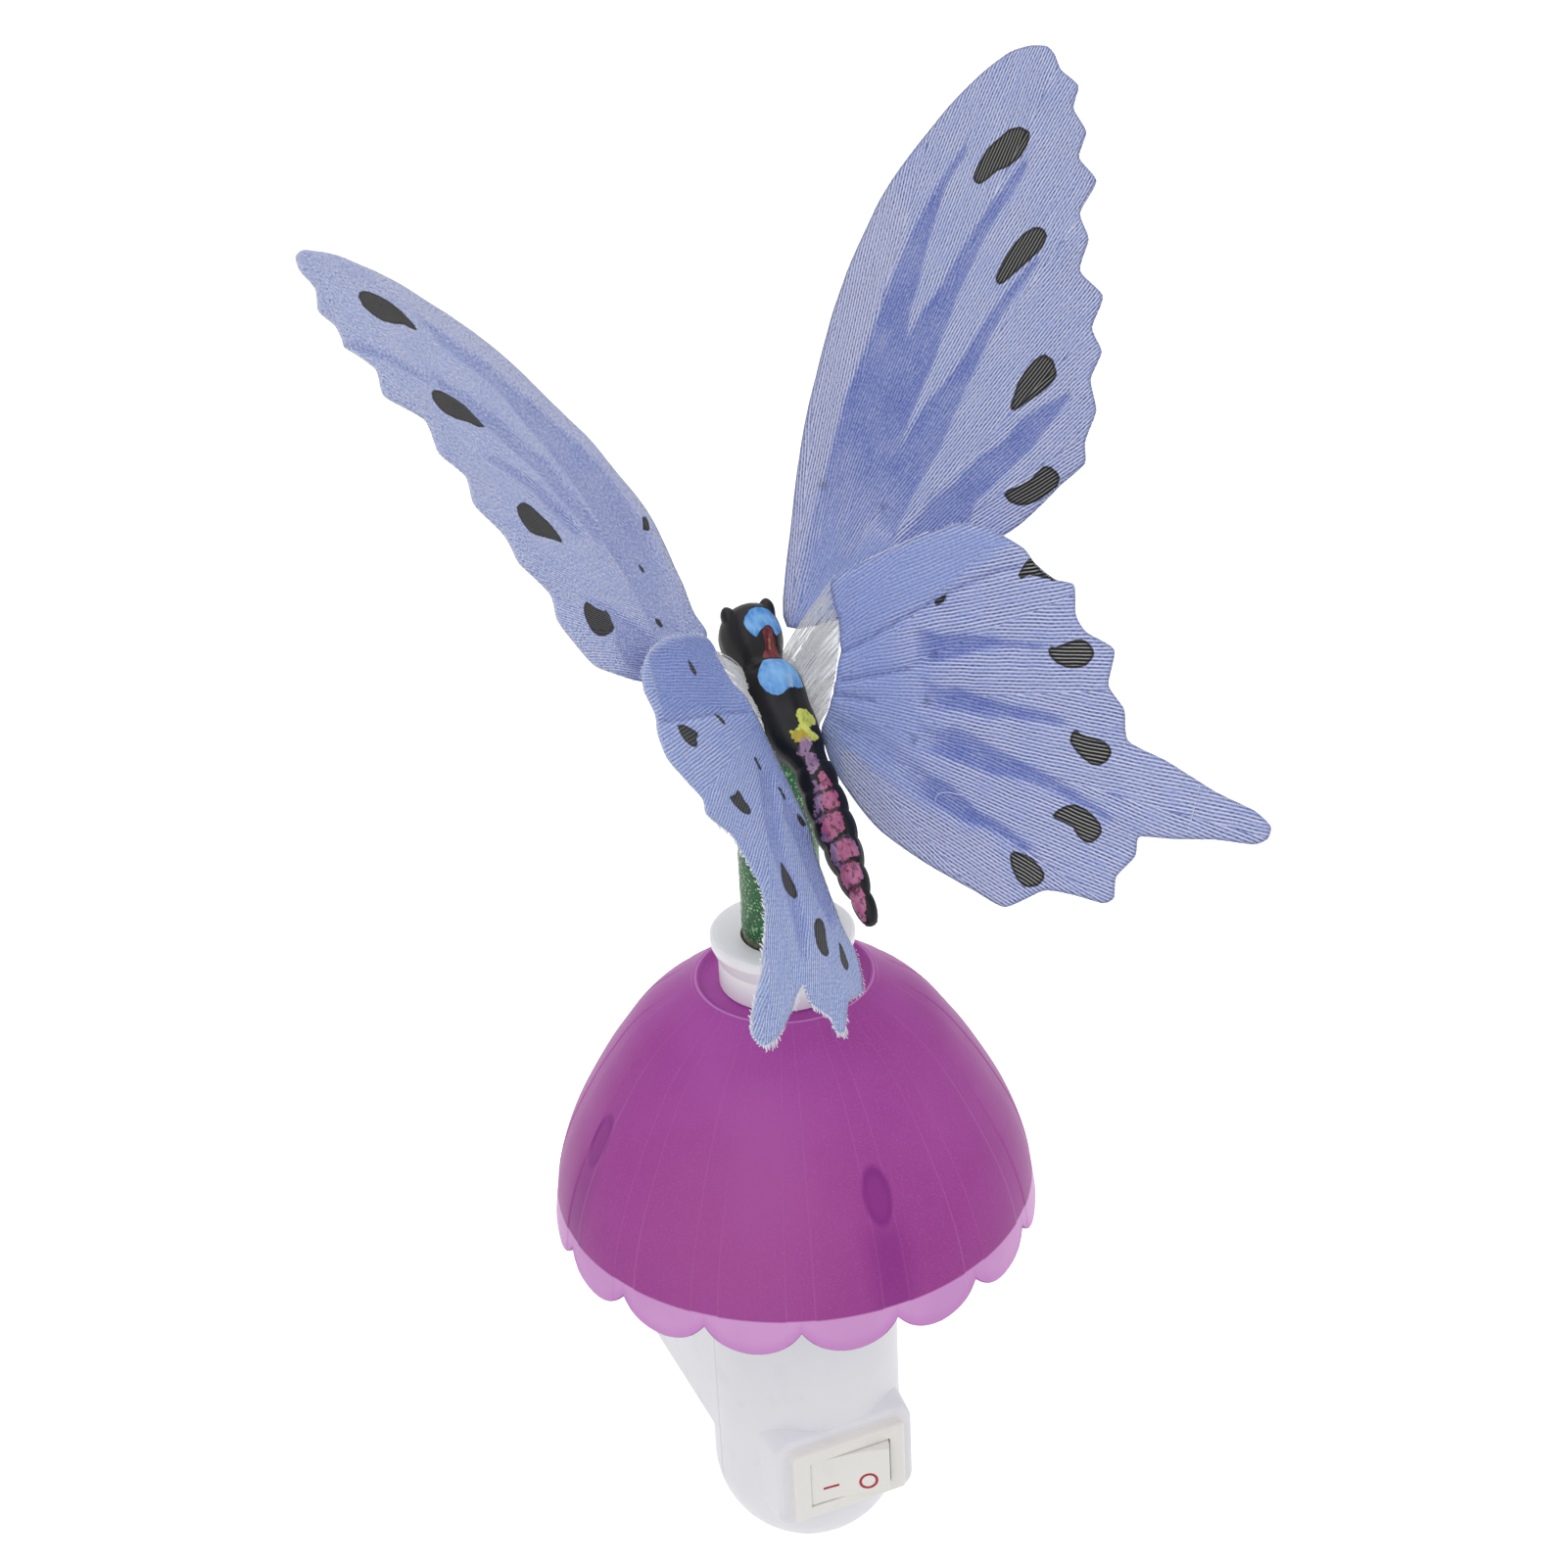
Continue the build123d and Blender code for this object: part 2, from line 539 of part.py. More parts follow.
def lobe_cutter(angle):
    """Wedge between two neighbouring lobes: it leaves a round lobe on each side of a cusp."""
    outward = Vector(sin(radians(angle)), -cos(radians(angle)), 0)
    origin = Vector(0, LAMP_Y, CUSP_Z) + outward * 20
    plane = Plane(origin=origin, x_dir=Vector(0, 0, 1).cross(outward), z_dir=outward)
    below = -LOBE_DEPTH - 3.0
    half = LOBE_HALF_WIDTH
    lobe_radius = (half ** 2 + LOBE_DEPTH ** 2) / (2 * LOBE_DEPTH)
    middle_x = half / 2
    middle_y = lobe_radius - LOBE_DEPTH - sqrt(lobe_radius ** 2 - (half - middle_x) ** 2)
    with BuildPart(mode=Mode.PRIVATE) as wedge:
        with BuildSketch(plane):
            with BuildLine():
                ThreePointArc((-half, -LOBE_DEPTH), (-middle_x, middle_y), (0, 0))
                ThreePointArc((0, 0), (middle_x, middle_y), (half, -LOBE_DEPTH))
                Polyline((half, -LOBE_DEPTH), (half, below), (-half, below), (-half, -LOBE_DEPTH))
            make_face()
        extrude(amount=14)
    return wedge.part


with BuildPart() as shade:
    with BuildSketch(LAMP_SECTION):
        with BuildLine():
            Spline(*SHADE_PROFILE)
            hem_radius, hem_z = SHADE_PROFILE[-1]
            Polyline((hem_radius, hem_z), (hem_radius - SHADE_WALL, hem_z), INNER_PROFILE[-1])
            Spline(*reversed(INNER_PROFILE))
            # recessed seat around the neck of the cap
            Polyline(
                INNER_PROFILE[0], (10.4, 47.6), (SPIGOT_RADIUS + 0.1, 47.6), (SPIGOT_RADIUS + 0.1, 49.6),
                (8.6, 49.2), (9.4, 49.1), (10.3, SHADE_TOP), (SHADE_RING_RADIUS, SHADE_TOP), SHADE_PROFILE[0],
            )
        make_face()
    revolve(axis=LAMP_AXIS)
    for lobe in range(LOBE_COUNT):
        add(lobe_cutter(lobe * LOBE_ANGLE), mode=Mode.SUBTRACT)
    # four posts inside, down to the floor plate, each with a hole for its screw
    for x, y in POSTS:
        add(rod((x, y, FLOOR_Z + FLOOR_THICKNESS), (x, y, 35.0), POST_RADIUS))
        add(rod((x, y, FLOOR_Z), (x, y, 30.0), SCREW_RADIUS + FIT), mode=Mode.SUBTRACT)
save(shade.part, "shade")

with BuildPart() as shade_screws:
    for x, y in POSTS:
        add(screw_at((x, y, FLOOR_Z), (0, 0, -1), 7.5))
save(shade_screws.part, "shade_screws")

# ---------------------------------------------------------------- cap, nut and stem

with BuildPart() as stem_cap:
    add(revolved([
        (BUNDLE_RADIUS + 0.1, SPIGOT_BOTTOM), (SPIGOT_RADIUS, SPIGOT_BOTTOM), (SPIGOT_RADIUS, 49.6),
        (NECK_RADIUS, 49.6), (NECK_RADIUS, 52.9), (CAP_RADIUS, 54.9), (CAP_RADIUS, 55.8),
        (CAP_RADIUS - 0.3, CAP_TOP), (CAP_RADIUS - 0.9, CAP_TOP),
        (STEM_RADIUS + 0.05, CAP_TOP - 0.35), (STEM_RADIUS + 0.05, STEM_SOCKET_Z),
        (BUNDLE_RADIUS + 0.1, STEM_SOCKET_Z),
    ]))
save(stem_cap.part, "stem_cap")

with BuildPart() as cap_nut:
    with BuildSketch(lamp_plane(45.4)):
        RegularPolygon(9.0, 6)
        Circle(SPIGOT_RADIUS + FIT, mode=Mode.SUBTRACT)
    extrude(amount=2.2)
save(cap_nut.part, "cap_nut")

with BuildPart() as stem_sleeve:
    add(rod((0, LAMP_Y, STEM_SOCKET_Z), (0, LAMP_Y, STEM_TOP), STEM_RADIUS))
    add(rod((0, LAMP_Y, STEM_SOCKET_Z), (0, LAMP_Y, STEM_TOP), TUBE_OUTER_RADIUS + FIT), mode=Mode.SUBTRACT)
save(stem_sleeve.part, "stem_sleeve")

with BuildPart() as stem_tube:
    add(rod((0, LAMP_Y, STEM_SOCKET_Z), (0, LAMP_Y, STEM_TOP), TUBE_OUTER_RADIUS))
    add(rod((0, LAMP_Y, STEM_SOCKET_Z), (0, LAMP_Y, STEM_TOP), BUNDLE_RADIUS + 0.1), mode=Mode.SUBTRACT)
save(stem_tube.part, "stem_tube")

with BuildPart() as fibre_bundle:
    add(rod((0, LAMP_Y, SPIGOT_BOTTOM + 0.4), (0, LAMP_Y, STEM_TOP), BUNDLE_RADIUS))
save(fibre_bundle.part, "fibre_bundle")

# ---------------------------------------------------------------- wings
# In the body's own plane X is to its right, Y runs from tail to head, and Z is its back.
# Outlines are in the wing's own plane: X runs out from the root and Y runs forward.
# The cloth is cut by hand, so the left and the right wing of a pair differ a little.

TILT = radians(BUTTERFLY_PITCH)
BODY_PLANE = Plane(origin=BUTTERFLY_CENTRE, x_dir=(1, 0, 0), z_dir=(0, -sin(TILT), cos(TILT)))
BODY_AXIS = Axis(BUTTERFLY_CENTRE, (0, cos(TILT), sin(TILT)))


def wing_plane(side, root, dihedral, sweep, twist):
    """Plane of one wing: raised about the body's axis, swept in its own plane, then twisted."""
    place = BODY_PLANE.location
    place = place * Location((side * root[0], root[1], root[2]))
    place = place * Location((0, 0, 0), (0, -side * dihedral, 0))
    place = place * Location((0, 0, 0), (0, 0, side * sweep))
    place = place * Location((0, 0, 0), (twist, 0, 0))
    return Plane(place)


def leaf(plane, side, outline, thickness):
    """Flat sheet in a wing's plane; the outline is mirrored on the left side (-1)."""
    with BuildPart(mode=Mode.PRIVATE) as sheet:
        with BuildSketch(plane):
            with BuildLine():
                Polyline(*[(side * x, y) for x, y in outline], close=True)
            make_face()
        extrude(amount=thickness / 2, both=True)
    return sheet.part


RIGHT_FOREWING_PLANE = wing_plane(1, FOREWING_ROOT, 52.0, 3.2, 0.0)
LEFT_FOREWING_PLANE = wing_plane(-1, FOREWING_ROOT, 46.0, -3.7, -3.0)
RIGHT_HINDWING_PLANE = wing_plane(1, HINDWING_ROOT, 62.0, 4.0, 8.0)
LEFT_HINDWING_PLANE = wing_plane(-1, HINDWING_ROOT, 50.0, -5.9, 0.0)

WINGS = {
    "right_forewing": (RIGHT_FOREWING_PLANE, 1, [
        (1.4, 2.3), (7.6, 13.2), (11.9, 18.6), (23, 29.8), (33.7, 36.7), (45.8, 40.1), (54.6, 40.5),
        (58.6, 37.9), (59.6, 31.8), (57.9, 30.1), (57.9, 26.9), (55.9, 25.1), (56.3, 21.6),
        (53.1, 19.9), (52.7, 16.7), (50.2, 14.4), (51, 10.6), (48.4, 8.3), (48.1, 5.4), (45.7, 3.6),
        (44.7, 0.4), (41.9, -1.7), (40.7, -3.6), (30, -4.7), (14, -2.6),
    ]),
    "left_forewing": (LEFT_FOREWING_PLANE, -1, [
        (5.4, 2.4), (5, 14.1), (5.8, 19), (11.5, 27.3), (15, 30), (23.7, 35.5), (29.9, 37.9),
        (42.6, 40), (48.6, 40.2), (55.1, 39.1), (57.2, 37.8), (57.7, 35.9), (56.3, 34.2), (57.6, 31.3),
        (55.5, 30.2), (55.2, 27.8), (51.8, 25.8), (52.5, 22.6), (46.9, 21), (47, 17.1), (43.6, 15),
        (44.6, 11.6), (41.5, 8.8), (40.8, 5.4), (37.3, 2.5), (37.9, -0.4), (34.3, -5.5), (26.7, -6.2),
        (14, -3.6),
    ]),
    "right_hindwing": (RIGHT_HINDWING_PLANE, 1, [
        (10.4, 9.3), (24, 5.6), (27.9, 3.9), (30.6, 1.4), (32.8, -2.8), (34, -7.5), (35.6, -9.4),
        (33.9, -11.9), (33.9, -14), (35.6, -17.3), (32.9, -19.8), (32.9, -22.8), (31.3, -25.5),
        (39.4, -39), (40, -41.3), (39, -42.1), (37.3, -41.7), (26.6, -34.1), (24.9, -35.3),
        (21.6, -35.7), (20.1, -37.3), (18.6, -37.1), (13.1, -32.2), (7.8, -31), (-1.1, -16),
        (-1.6, -10.9), (-1, -6), (0.4, -1.6), (2.2, -0.8), (4.3, 0.7), (6.6, 2.9), (8.3, 5.5),
    ]),
    "left_hindwing": (LEFT_HINDWING_PLANE, -1, [
        (6.9, 9), (17.7, 7.2), (23.9, 5), (29.2, 1.6), (30.6, -0.6), (30.2, -3.1), (31.6, -5.5),
        (31.8, -8.5), (27.8, -12.2), (28.3, -14.1), (23.4, -16), (22.2, -20.1), (22.3, -22.7),
        (24.1, -25.4), (39.5, -37.8), (37.8, -39), (34.1, -38.1), (21.7, -32.5), (21.5, -34.5),
        (18.1, -35.9), (17.9, -37.5), (15.5, -37.3), (11.6, -34.1), (5.3, -32.7), (2.5, -28.3),
        (2.4, -24.4), (1.6, -18.8), (1, -14.3), (0.9, -9), (1.1, -4.2), (2, -1.1), (3.4, 2), (4.8, 4.6),
        (4.9, 7.6),
    ]),
}
for name, (plane, side, outline) in WINGS.items():
    with BuildPart() as wing:
        add(leaf(plane, side, outline, WING_THICKNESS))
    save(wing.part, name)

# Clear fibres spread from slots in the body's sides to each wing's inner edge.
FIBRE_SHEET = 0.4
FIBRE_LEAVES = {
    "right_hindwing_fibres": (RIGHT_HINDWING_PLANE, 1, [
        (-1.4, -1.8), (-1.4, 0.9), (0.7, 4.4), (9.0, 8.8), (7.7, 5.8), (6.1, 3.3), (3.9, 1.2), (1.9, -0.2),
        (0.1, -1.0),
    ]),
    "left_hindwing_fibres": (LEFT_HINDWING_PLANE, -1, [
        (-1.4, -1.8), (-1.4, 0.7), (1.2, 4.2), (4.4, 7.2), (4.3, 4.8), (2.9, 2.1), (1.5, -0.9), (0.6, -1.8),
    ]),
    "right_forewing_fibres": (RIGHT_FOREWING_PLANE, 1, [
        (-1.4, -5.0), (-1.4, -3.2), (1.4, 0.8), (8.0, -1.0), (4.5, -4.2),
    ]),
    "left_forewing_fibres": (LEFT_FOREWING_PLANE, -1, [
        (-1.4, -4.8), (-1.4, -3.0), (3.4, 0.4), (8.0, -1.6), (4.0, -3.8),
    ]),
}
for name, (plane, side, outline) in FIBRE_LEAVES.items():
    with BuildPart() as fibres:
        add(leaf(plane, side, outline, FIBRE_SHEET))
    save(fibres.part, name)

# ---------------------------------------------------------------- butterfly body

HEAD_AND_THORAX = [
    (0.0, 9.9), (2.0, 9.4), (3.4, 7.2), (3.45, 5.2), (2.5, 2.4), (2.3, 1.2), (2.9, -1.6), (3.1, -4.2),
    (2.8, -7.0), (2.1, -10.2),
]
# where one abdomen ring meets the next: distance along the body and radius
RING_JOINTS = [
    (-10.2, 2.1), (-13.4, 2.35), (-16.6, 2.3), (-19.8, 2.1), (-23.0, 1.8), (-26.0, 1.4), (-29.3, 0.7),
]
RING_BULGE = 0.45
HORN_RADIUS = 0.9

with BuildPart() as butterfly_body:
    with BuildSketch(BODY_PLANE):
        with BuildLine():
            Spline(*HEAD_AND_THORAX)
            for (y_front, r_front), (y_back, r_back) in zip(RING_JOINTS[:-1], RING_JOINTS[1:]):
                bulge = (max(r_front, r_back) + RING_BULGE, (y_front + y_back) / 2)
                ThreePointArc((r_front, y_front), bulge, (r_back, y_back))
            tail_y, tail_radius = RING_JOINTS[-1]
            Polyline((tail_radius, tail_y), (0, tail_y - 0.4), (0, 9.9))
        make_face()
    revolve(axis=BODY_AXIS)
    for side in (-1, 1):
        horn_base = BODY_PLANE.from_local_coords(Vector(side * 1.9, 7.6, 0.6))
        horn_tip = BODY_PLANE.from_local_coords(Vector(side * 2.7, 9.9, 1.0))
        add(rod(tuple(horn_base), tuple(horn_tip), HORN_RADIUS))
    # slots for the fibre leaves
    for plane, side, outline in FIBRE_LEAVES.values():
        add(leaf(plane, side, outline, FIBRE_SHEET + 2 * FIT), mode=Mode.SUBTRACT)
save(butterfly_body.part, "butterfly_body")

# white plug in the top of the stem, with its top cut to the slope of the body
BELLY_DEPTH = 3.6
with BuildPart() as body_plug:
    add(rod((0, LAMP_Y, STEM_TOP), (0, LAMP_Y, 96.0), TUBE_OUTER_RADIUS))
    belly = BODY_PLANE.offset(-BELLY_DEPTH)
    add(belly.location * Box(40, 60, 20, align=BASE, mode=Mode.PRIVATE), mode=Mode.SUBTRACT)
save(body_plug.part, "body_plug")
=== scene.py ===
# %% [markdown]
# # A plug-in night light with a butterfly
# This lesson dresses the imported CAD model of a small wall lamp. The lamp hangs on its two plug
# blades. A white tube carries a rocker switch, a scalloped violet shade sits on the tube, and a
# stem in green glitter film carries a painted butterfly with four cloth wings.
# Everything is modelled in metres in the frame of the CAD, so each piece goes straight to the
# place that the CAD gives it. Numbers in the cells are millimetres until a mesh is made.

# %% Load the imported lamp
import json
import math
import random

import bpy
import numpy as np
from mathutils import Matrix, Vector, noise
from mathutils.geometry import delaunay_2d_cdt

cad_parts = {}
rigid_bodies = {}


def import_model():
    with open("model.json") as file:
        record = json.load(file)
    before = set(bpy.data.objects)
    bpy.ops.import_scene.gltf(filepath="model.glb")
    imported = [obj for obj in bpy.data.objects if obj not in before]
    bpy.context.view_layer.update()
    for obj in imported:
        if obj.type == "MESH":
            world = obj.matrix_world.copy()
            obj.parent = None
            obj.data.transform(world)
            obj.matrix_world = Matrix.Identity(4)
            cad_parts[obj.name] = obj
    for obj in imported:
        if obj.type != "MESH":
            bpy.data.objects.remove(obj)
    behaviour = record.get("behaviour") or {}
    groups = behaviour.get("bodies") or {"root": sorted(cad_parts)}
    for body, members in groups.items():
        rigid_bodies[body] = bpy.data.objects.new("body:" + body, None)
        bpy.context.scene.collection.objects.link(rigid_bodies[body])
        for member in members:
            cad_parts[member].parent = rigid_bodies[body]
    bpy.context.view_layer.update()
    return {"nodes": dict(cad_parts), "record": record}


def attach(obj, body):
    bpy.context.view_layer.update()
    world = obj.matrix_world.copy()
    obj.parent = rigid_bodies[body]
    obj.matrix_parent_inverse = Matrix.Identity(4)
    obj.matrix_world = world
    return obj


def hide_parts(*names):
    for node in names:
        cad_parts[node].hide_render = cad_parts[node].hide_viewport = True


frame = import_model()
MM = 0.001
LAMP_Y, SWITCH_Z = -31.0, -15.9

# %% [markdown]
# ## The camera
# The lamp is seen from its left front and from above, with a long lens. A camera is a place, a
# heading, a pitch and a small roll, and its matrix is built from the three axes that these give.
# That is easier to read than three Euler angles, and nothing depends on the order of rotation.

# %% Camera
CAMERA_PLACE = Vector((-110.23, -299.77, 238.52))
HEADING, PITCH, ROLL = (math.radians(angle) for angle in (-22.5, 29.36, 2.79))
LENS_LENGTH, FILM_WIDTH = 68.27, 36.0


def camera_axes(heading, pitch, roll):
    """The camera's right, up and forward directions."""
    level = math.cos(pitch)
    forward = Vector((-math.sin(heading) * level, math.cos(heading) * level, -math.sin(pitch)))
    level_right = Vector((math.cos(heading), math.sin(heading), 0))
    level_up = level_right.cross(forward)
    right = level_right * math.cos(roll) - level_up * math.sin(roll)
    up = level_right * math.sin(roll) + level_up * math.cos(roll)
    return right, up, forward


def link_object(name, data):
    """Put new data into the scene as an object."""
    piece = bpy.data.objects.new(name, data)
    bpy.context.scene.collection.objects.link(piece)
    return piece


camera_data = bpy.data.cameras.new("camera")
camera_data.lens = LENS_LENGTH
camera_data.sensor_width = FILM_WIDTH
camera_data.sensor_fit = "HORIZONTAL"
camera = link_object("camera", camera_data)
right, up, forward = camera_axes(HEADING, PITCH, ROLL)
turn = Matrix((right, up, -forward)).transposed().to_4x4()
camera.matrix_world = Matrix.Translation(CAMERA_PLACE * MM) @ turn
bpy.context.scene.camera = camera
print("camera looks along", [round(c, 3) for c in forward])

# %% [markdown]
# ## Small helpers for meshes
# Each piece is built from plain lists of points and faces. A grid of points, closed in one
# direction, gives everything that was turned or moulded. Curves could do for what is drawn out,
# such as a fibre or a loose thread, but a mesh of thin rods keeps hundreds of them in one piece.

# %% Mesh helpers
def mesh_piece(name, points, faces):
    """A smooth mesh object made from points in millimetres."""
    mesh = bpy.data.meshes.new(name)
    mesh.from_pydata([[c * MM for c in point] for point in points], [], faces)
    mesh.polygons.foreach_set("use_smooth", [True] * len(mesh.polygons))
    mesh.update()
    return link_object(name, mesh)


def grid_faces(rows, columns, closed=True):
    """Faces between neighbouring rows of a grid; closed rows are rings."""
    faces = []
    for row in range(rows - 1):
        for column in range(columns if closed else columns - 1):
            following = (column + 1) % columns
            faces.append((row * columns + column, row * columns + following,
                          (row + 1) * columns + following, (row + 1) * columns + column))
    return faces


def around(count):
    """Evenly spaced angles of one full turn."""
    return [2 * math.pi * k / count for k in range(count)]


def ring_points(centre, ahead, guide, radius, sides):
    """Points of a circle square to the direction ahead; the guide says where it starts."""
    across = ahead.cross(guide).normalized()
    over = ahead.cross(across)
    return [centre + (across * math.cos(a) + over * math.sin(a)) * radius for a in around(sides)]


def joined(parts):
    """Several lots of points and faces as one."""
    points, faces = [], []
    for more_points, more_faces in parts:
        start = len(points)
        points += more_points
        faces += [tuple(i + start for i in face) for face in more_faces]
    return points, faces


def smooth_line(points, steps):
    """Points on a rounded line through the given ones, with some steps between each two."""
    points = [np.array(p, float) for p in points]
    padded = [2 * points[0] - points[1]] + points + [2 * points[-1] - points[-2]]
    line = []
    for before, start, end, after in zip(padded, padded[1:], padded[2:], padded[3:]):
        for step in range(steps):
            t = step / steps
            line.append(0.5 * (2 * start + (end - before) * t
                               + (2 * before - 5 * start + 4 * end - after) * t ** 2
                               + (3 * start - before - 3 * end + after) * t ** 3))
    line.append(points[-1])
    return np.array(line)


def store(piece, name, values):
    """Keep one number, or one vector, at each point of a mesh for its material to read."""
    values = np.asarray(values, np.float32)
    kind, key = ("FLOAT", "value") if values.ndim == 1 else ("FLOAT_VECTOR", "vector")
    attribute = piece.data.attributes.new(name, kind, "POINT")
    attribute.data.foreach_set(key, values.ravel())


def hand_over(piece, material, body="lamp", instead_of=()):
    """Give a finished piece its material, its body and the CAD nodes that it stands for."""
    if material.name not in piece.data.materials:
        piece.data.materials.append(material)
    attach(piece, body)
    if instead_of:
        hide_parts(*instead_of)
    return piece


print("a ring of three has", len(grid_faces(2, 3)), "faces to the next ring")


# %% [markdown]
# ## Small helpers for materials
# A material is a chain of nodes. What runs from node to node is a Flow, and a plain sum of flows
# adds the node that works it out, so a finish reads as a few lines of arithmetic. A NodeSheet adds
# the other nodes of one tree. Colours are written as they look on a screen, from 0 to 255, and
# turned into the linear numbers that the renderer needs.

# %% Flows and node sheets
def screen(red, green, blue):
    """A colour as it looks on a screen, in the renderer's linear numbers."""
    linear = [((c / 255 + 0.055) / 1.055) ** 2.4 if c > 10.3 else c / 255 / 12.92 for c in (red, green, blue)]
    return (*linear, 1.0)


class Flow:
    """A number, a colour or a vector on its way from one node to the next."""

    def __init__(self, sheet, socket):
        self.sheet, self.socket = sheet, socket

    def __add__(self, other):
        return self.sheet.math("ADD", self, other)

    def __sub__(self, other):
        return self.sheet.math("SUBTRACT", self, other)

    def __rsub__(self, other):
        return self.sheet.math("SUBTRACT", other, self)

    def __mul__(self, other):
        return self.sheet.math("MULTIPLY", self, other)

    def __truediv__(self, other):
        return self.sheet.math("DIVIDE", self, other)

    def __pow__(self, other):
        return self.sheet.math("POWER", self, other)

    def __abs__(self):
        return self.sheet.math("ABSOLUTE", self)

    def step(self, low, high, start=0.0, end=1.0):
        """A smooth change from start to end while this goes from low to high."""
        inputs = dict(enumerate((self, low, high, start, end)))
        return self.sheet.get(0, "MapRange", inputs, interpolation_type="SMOOTHSTEP")


class NodeSheet:
    """Adds nodes to a node tree and joins them."""

    def __init__(self, tree):
        self.tree = tree

    def feed(self, socket, value):
        """Link a flow, or the output of a shader, to a socket, or set the socket's value."""
        if isinstance(value, Flow):
            value = value.socket
        if isinstance(value, bpy.types.NodeSocket):
            self.tree.links.new(value, socket)
        else:
            socket.default_value = value

    def add(self, kind, inputs=None, **settings):
        """One node with its settings, and with values or flows for its inputs."""
        node = self.tree.nodes.new("ShaderNode" + kind)
        for key, value in settings.items():
            setattr(node, key, value)
        for key, value in (inputs or {}).items():
            self.feed(node.inputs[key], value)
        return node

    def get(self, output, kind, inputs=None, **settings):
        """The flow out of a new node."""
        return Flow(self, self.add(kind, inputs, **settings).outputs[output])

    def named(self, sockets):
        """The flows out of several sockets, by name."""
        return {socket.name: Flow(self, socket) for socket in sockets}

    def math(self, operation, *values, clamp=False):
        """Arithmetic on one or two numbers."""
        return self.get(0, "Math", dict(enumerate(values)), operation=operation, use_clamp=clamp)

    def mix(self, factor, first, second, blend="MIX"):
        """Blend of two colours."""
        return self.get(2, "Mix", {0: factor, 6: first, 7: second}, data_type="RGBA", blend_type=blend)

    def layers(self, colour, *coats):
        """A colour under several coats, each with its own mask."""
        for mask, coat in coats:
            colour = self.mix(mask, colour, coat)
        return colour

    def noise(self, vector, scale, detail=2.0, stretch=None):
        """Cloudy noise between 0 and 1, stretched along an axis where asked."""
        if stretch is not None:
            vector = self.get(0, "VectorMath", {0: vector, 1: stretch}, operation="MULTIPLY")
        return self.get(0, "TexNoise", {"Vector": vector, "Scale": scale, "Detail": detail})

    def place(self):
        """The object's own coordinates, in metres."""
        return self.get("Object", "TexCoord")

    def parts(self, flow, kind="SeparateXYZ"):
        """The three numbers of a vector or colour."""
        return [Flow(self, socket) for socket in self.add(kind, {0: flow}).outputs]

    def stored(self, name, output="Fac"):
        """What store() kept on the mesh under a name."""
        return self.get(output, "Attribute", attribute_name=name)

    def give(self, **results):
        """Feed the outputs of a node group."""
        for key, flow in results.items():
            self.feed(self.results[key], flow)


print("middle grey on a screen is", round(screen(128, 128, 128)[0], 3), "to the renderer")

# %% [markdown]
# ### Groups and whole materials
# What several materials share is a shader node group, which is drawn once and used many times.
# Every group for a surface gives a colour, a roughness and a height. What a shader does with them
# stays in the material, together with the plain numbers on the shader's own sockets.

# %% Groups and materials
KINDS = {"value": "NodeSocketFloat", "colour": "NodeSocketColor", "vector": "NodeSocketVector"}
SURFACE = {"Colour": "colour", "Roughness": "value", "Height": "value"}


def new_group(name, inputs, outputs=SURFACE):
    """An empty shader node group with named sockets, its sheet and the flows that come in."""
    tree = bpy.data.node_groups.new(name, "ShaderNodeTree")
    for direction, sockets in (("INPUT", inputs), ("OUTPUT", outputs)):
        for socket, kind in sockets.items():
            tree.interface.new_socket(socket, in_out=direction, socket_type=KINDS[kind])
    sheet = NodeSheet(tree)
    sheet.results = tree.nodes.new("NodeGroupOutput").inputs
    return tree, sheet, sheet.named(tree.nodes.new("NodeGroupInput").outputs)


def shader_of(material):
    """The Principled shader of a material."""
    return next(n for n in material.node_tree.nodes if n.type == "BSDF_PRINCIPLED")


def new_material(name):
    """A material, the sheet to fill it, and its Principled shader."""
    material = bpy.data.materials.new(name)
    material.use_nodes = True
    return material, NodeSheet(material.node_tree), shader_of(material)


def dress(sheet, shader, colour, roughness, height=None, relief=0.0, strength=1.0, **constants):
    """Feed a shader what varies and what doesn't; relief is the depth of the height in millimetres."""
    sheet.feed(shader.inputs["Base Color"], colour)
    sheet.feed(shader.inputs["Roughness"], roughness)
    if height is not None:
        sheet.feed(shader.inputs["Normal"], sheet.get(
            0, "Bump", {"Height": height, "Distance": relief * MM, "Strength": strength}))
    for key, value in constants.items():
        shader.inputs[key.replace("_", " ")].default_value = value


def from_group(name, group, values, relief, **constants):
    """A material whose colour, roughness and height come out of a shared group."""
    material, sheet, shader = new_material(name)
    flows = sheet.named(sheet.add("Group", values, node_tree=group).outputs)
    dress(sheet, shader, *(flows[key] for key in SURFACE), relief, **constants)
    return material


print("a surface group gives:", list(SURFACE))


# %% [markdown]
# ## Floor, world and lights
# A plain pale floor lies below the lamp, and big soft lamps stand to the left, to the right and
# above, as in a product studio. World and lamps together give about the light under which a
# colour renders as it is written. The floor and the world look white to the camera and to
# mirrors through the Light Path node, so no extra light is needed to make them white.

# %% Floor, world and lamps
FLOOR_Z, FLOOR_REACH, CELLS_EACH_WAY = -120.0, 4000.0, 8
WORLD_LIGHT, FLOOR_GLOW = 0.60, 0.62


def white_where_seen(sheet):
    """1 for rays from the camera, from a mirror or through glass, and 0 for plain light."""
    path = sheet.add("LightPath").outputs
    seen = sheet.math("MAXIMUM", path["Is Camera Ray"], path["Is Glossy Ray"])
    return sheet.math("MAXIMUM", seen, path["Is Transmission Ray"])


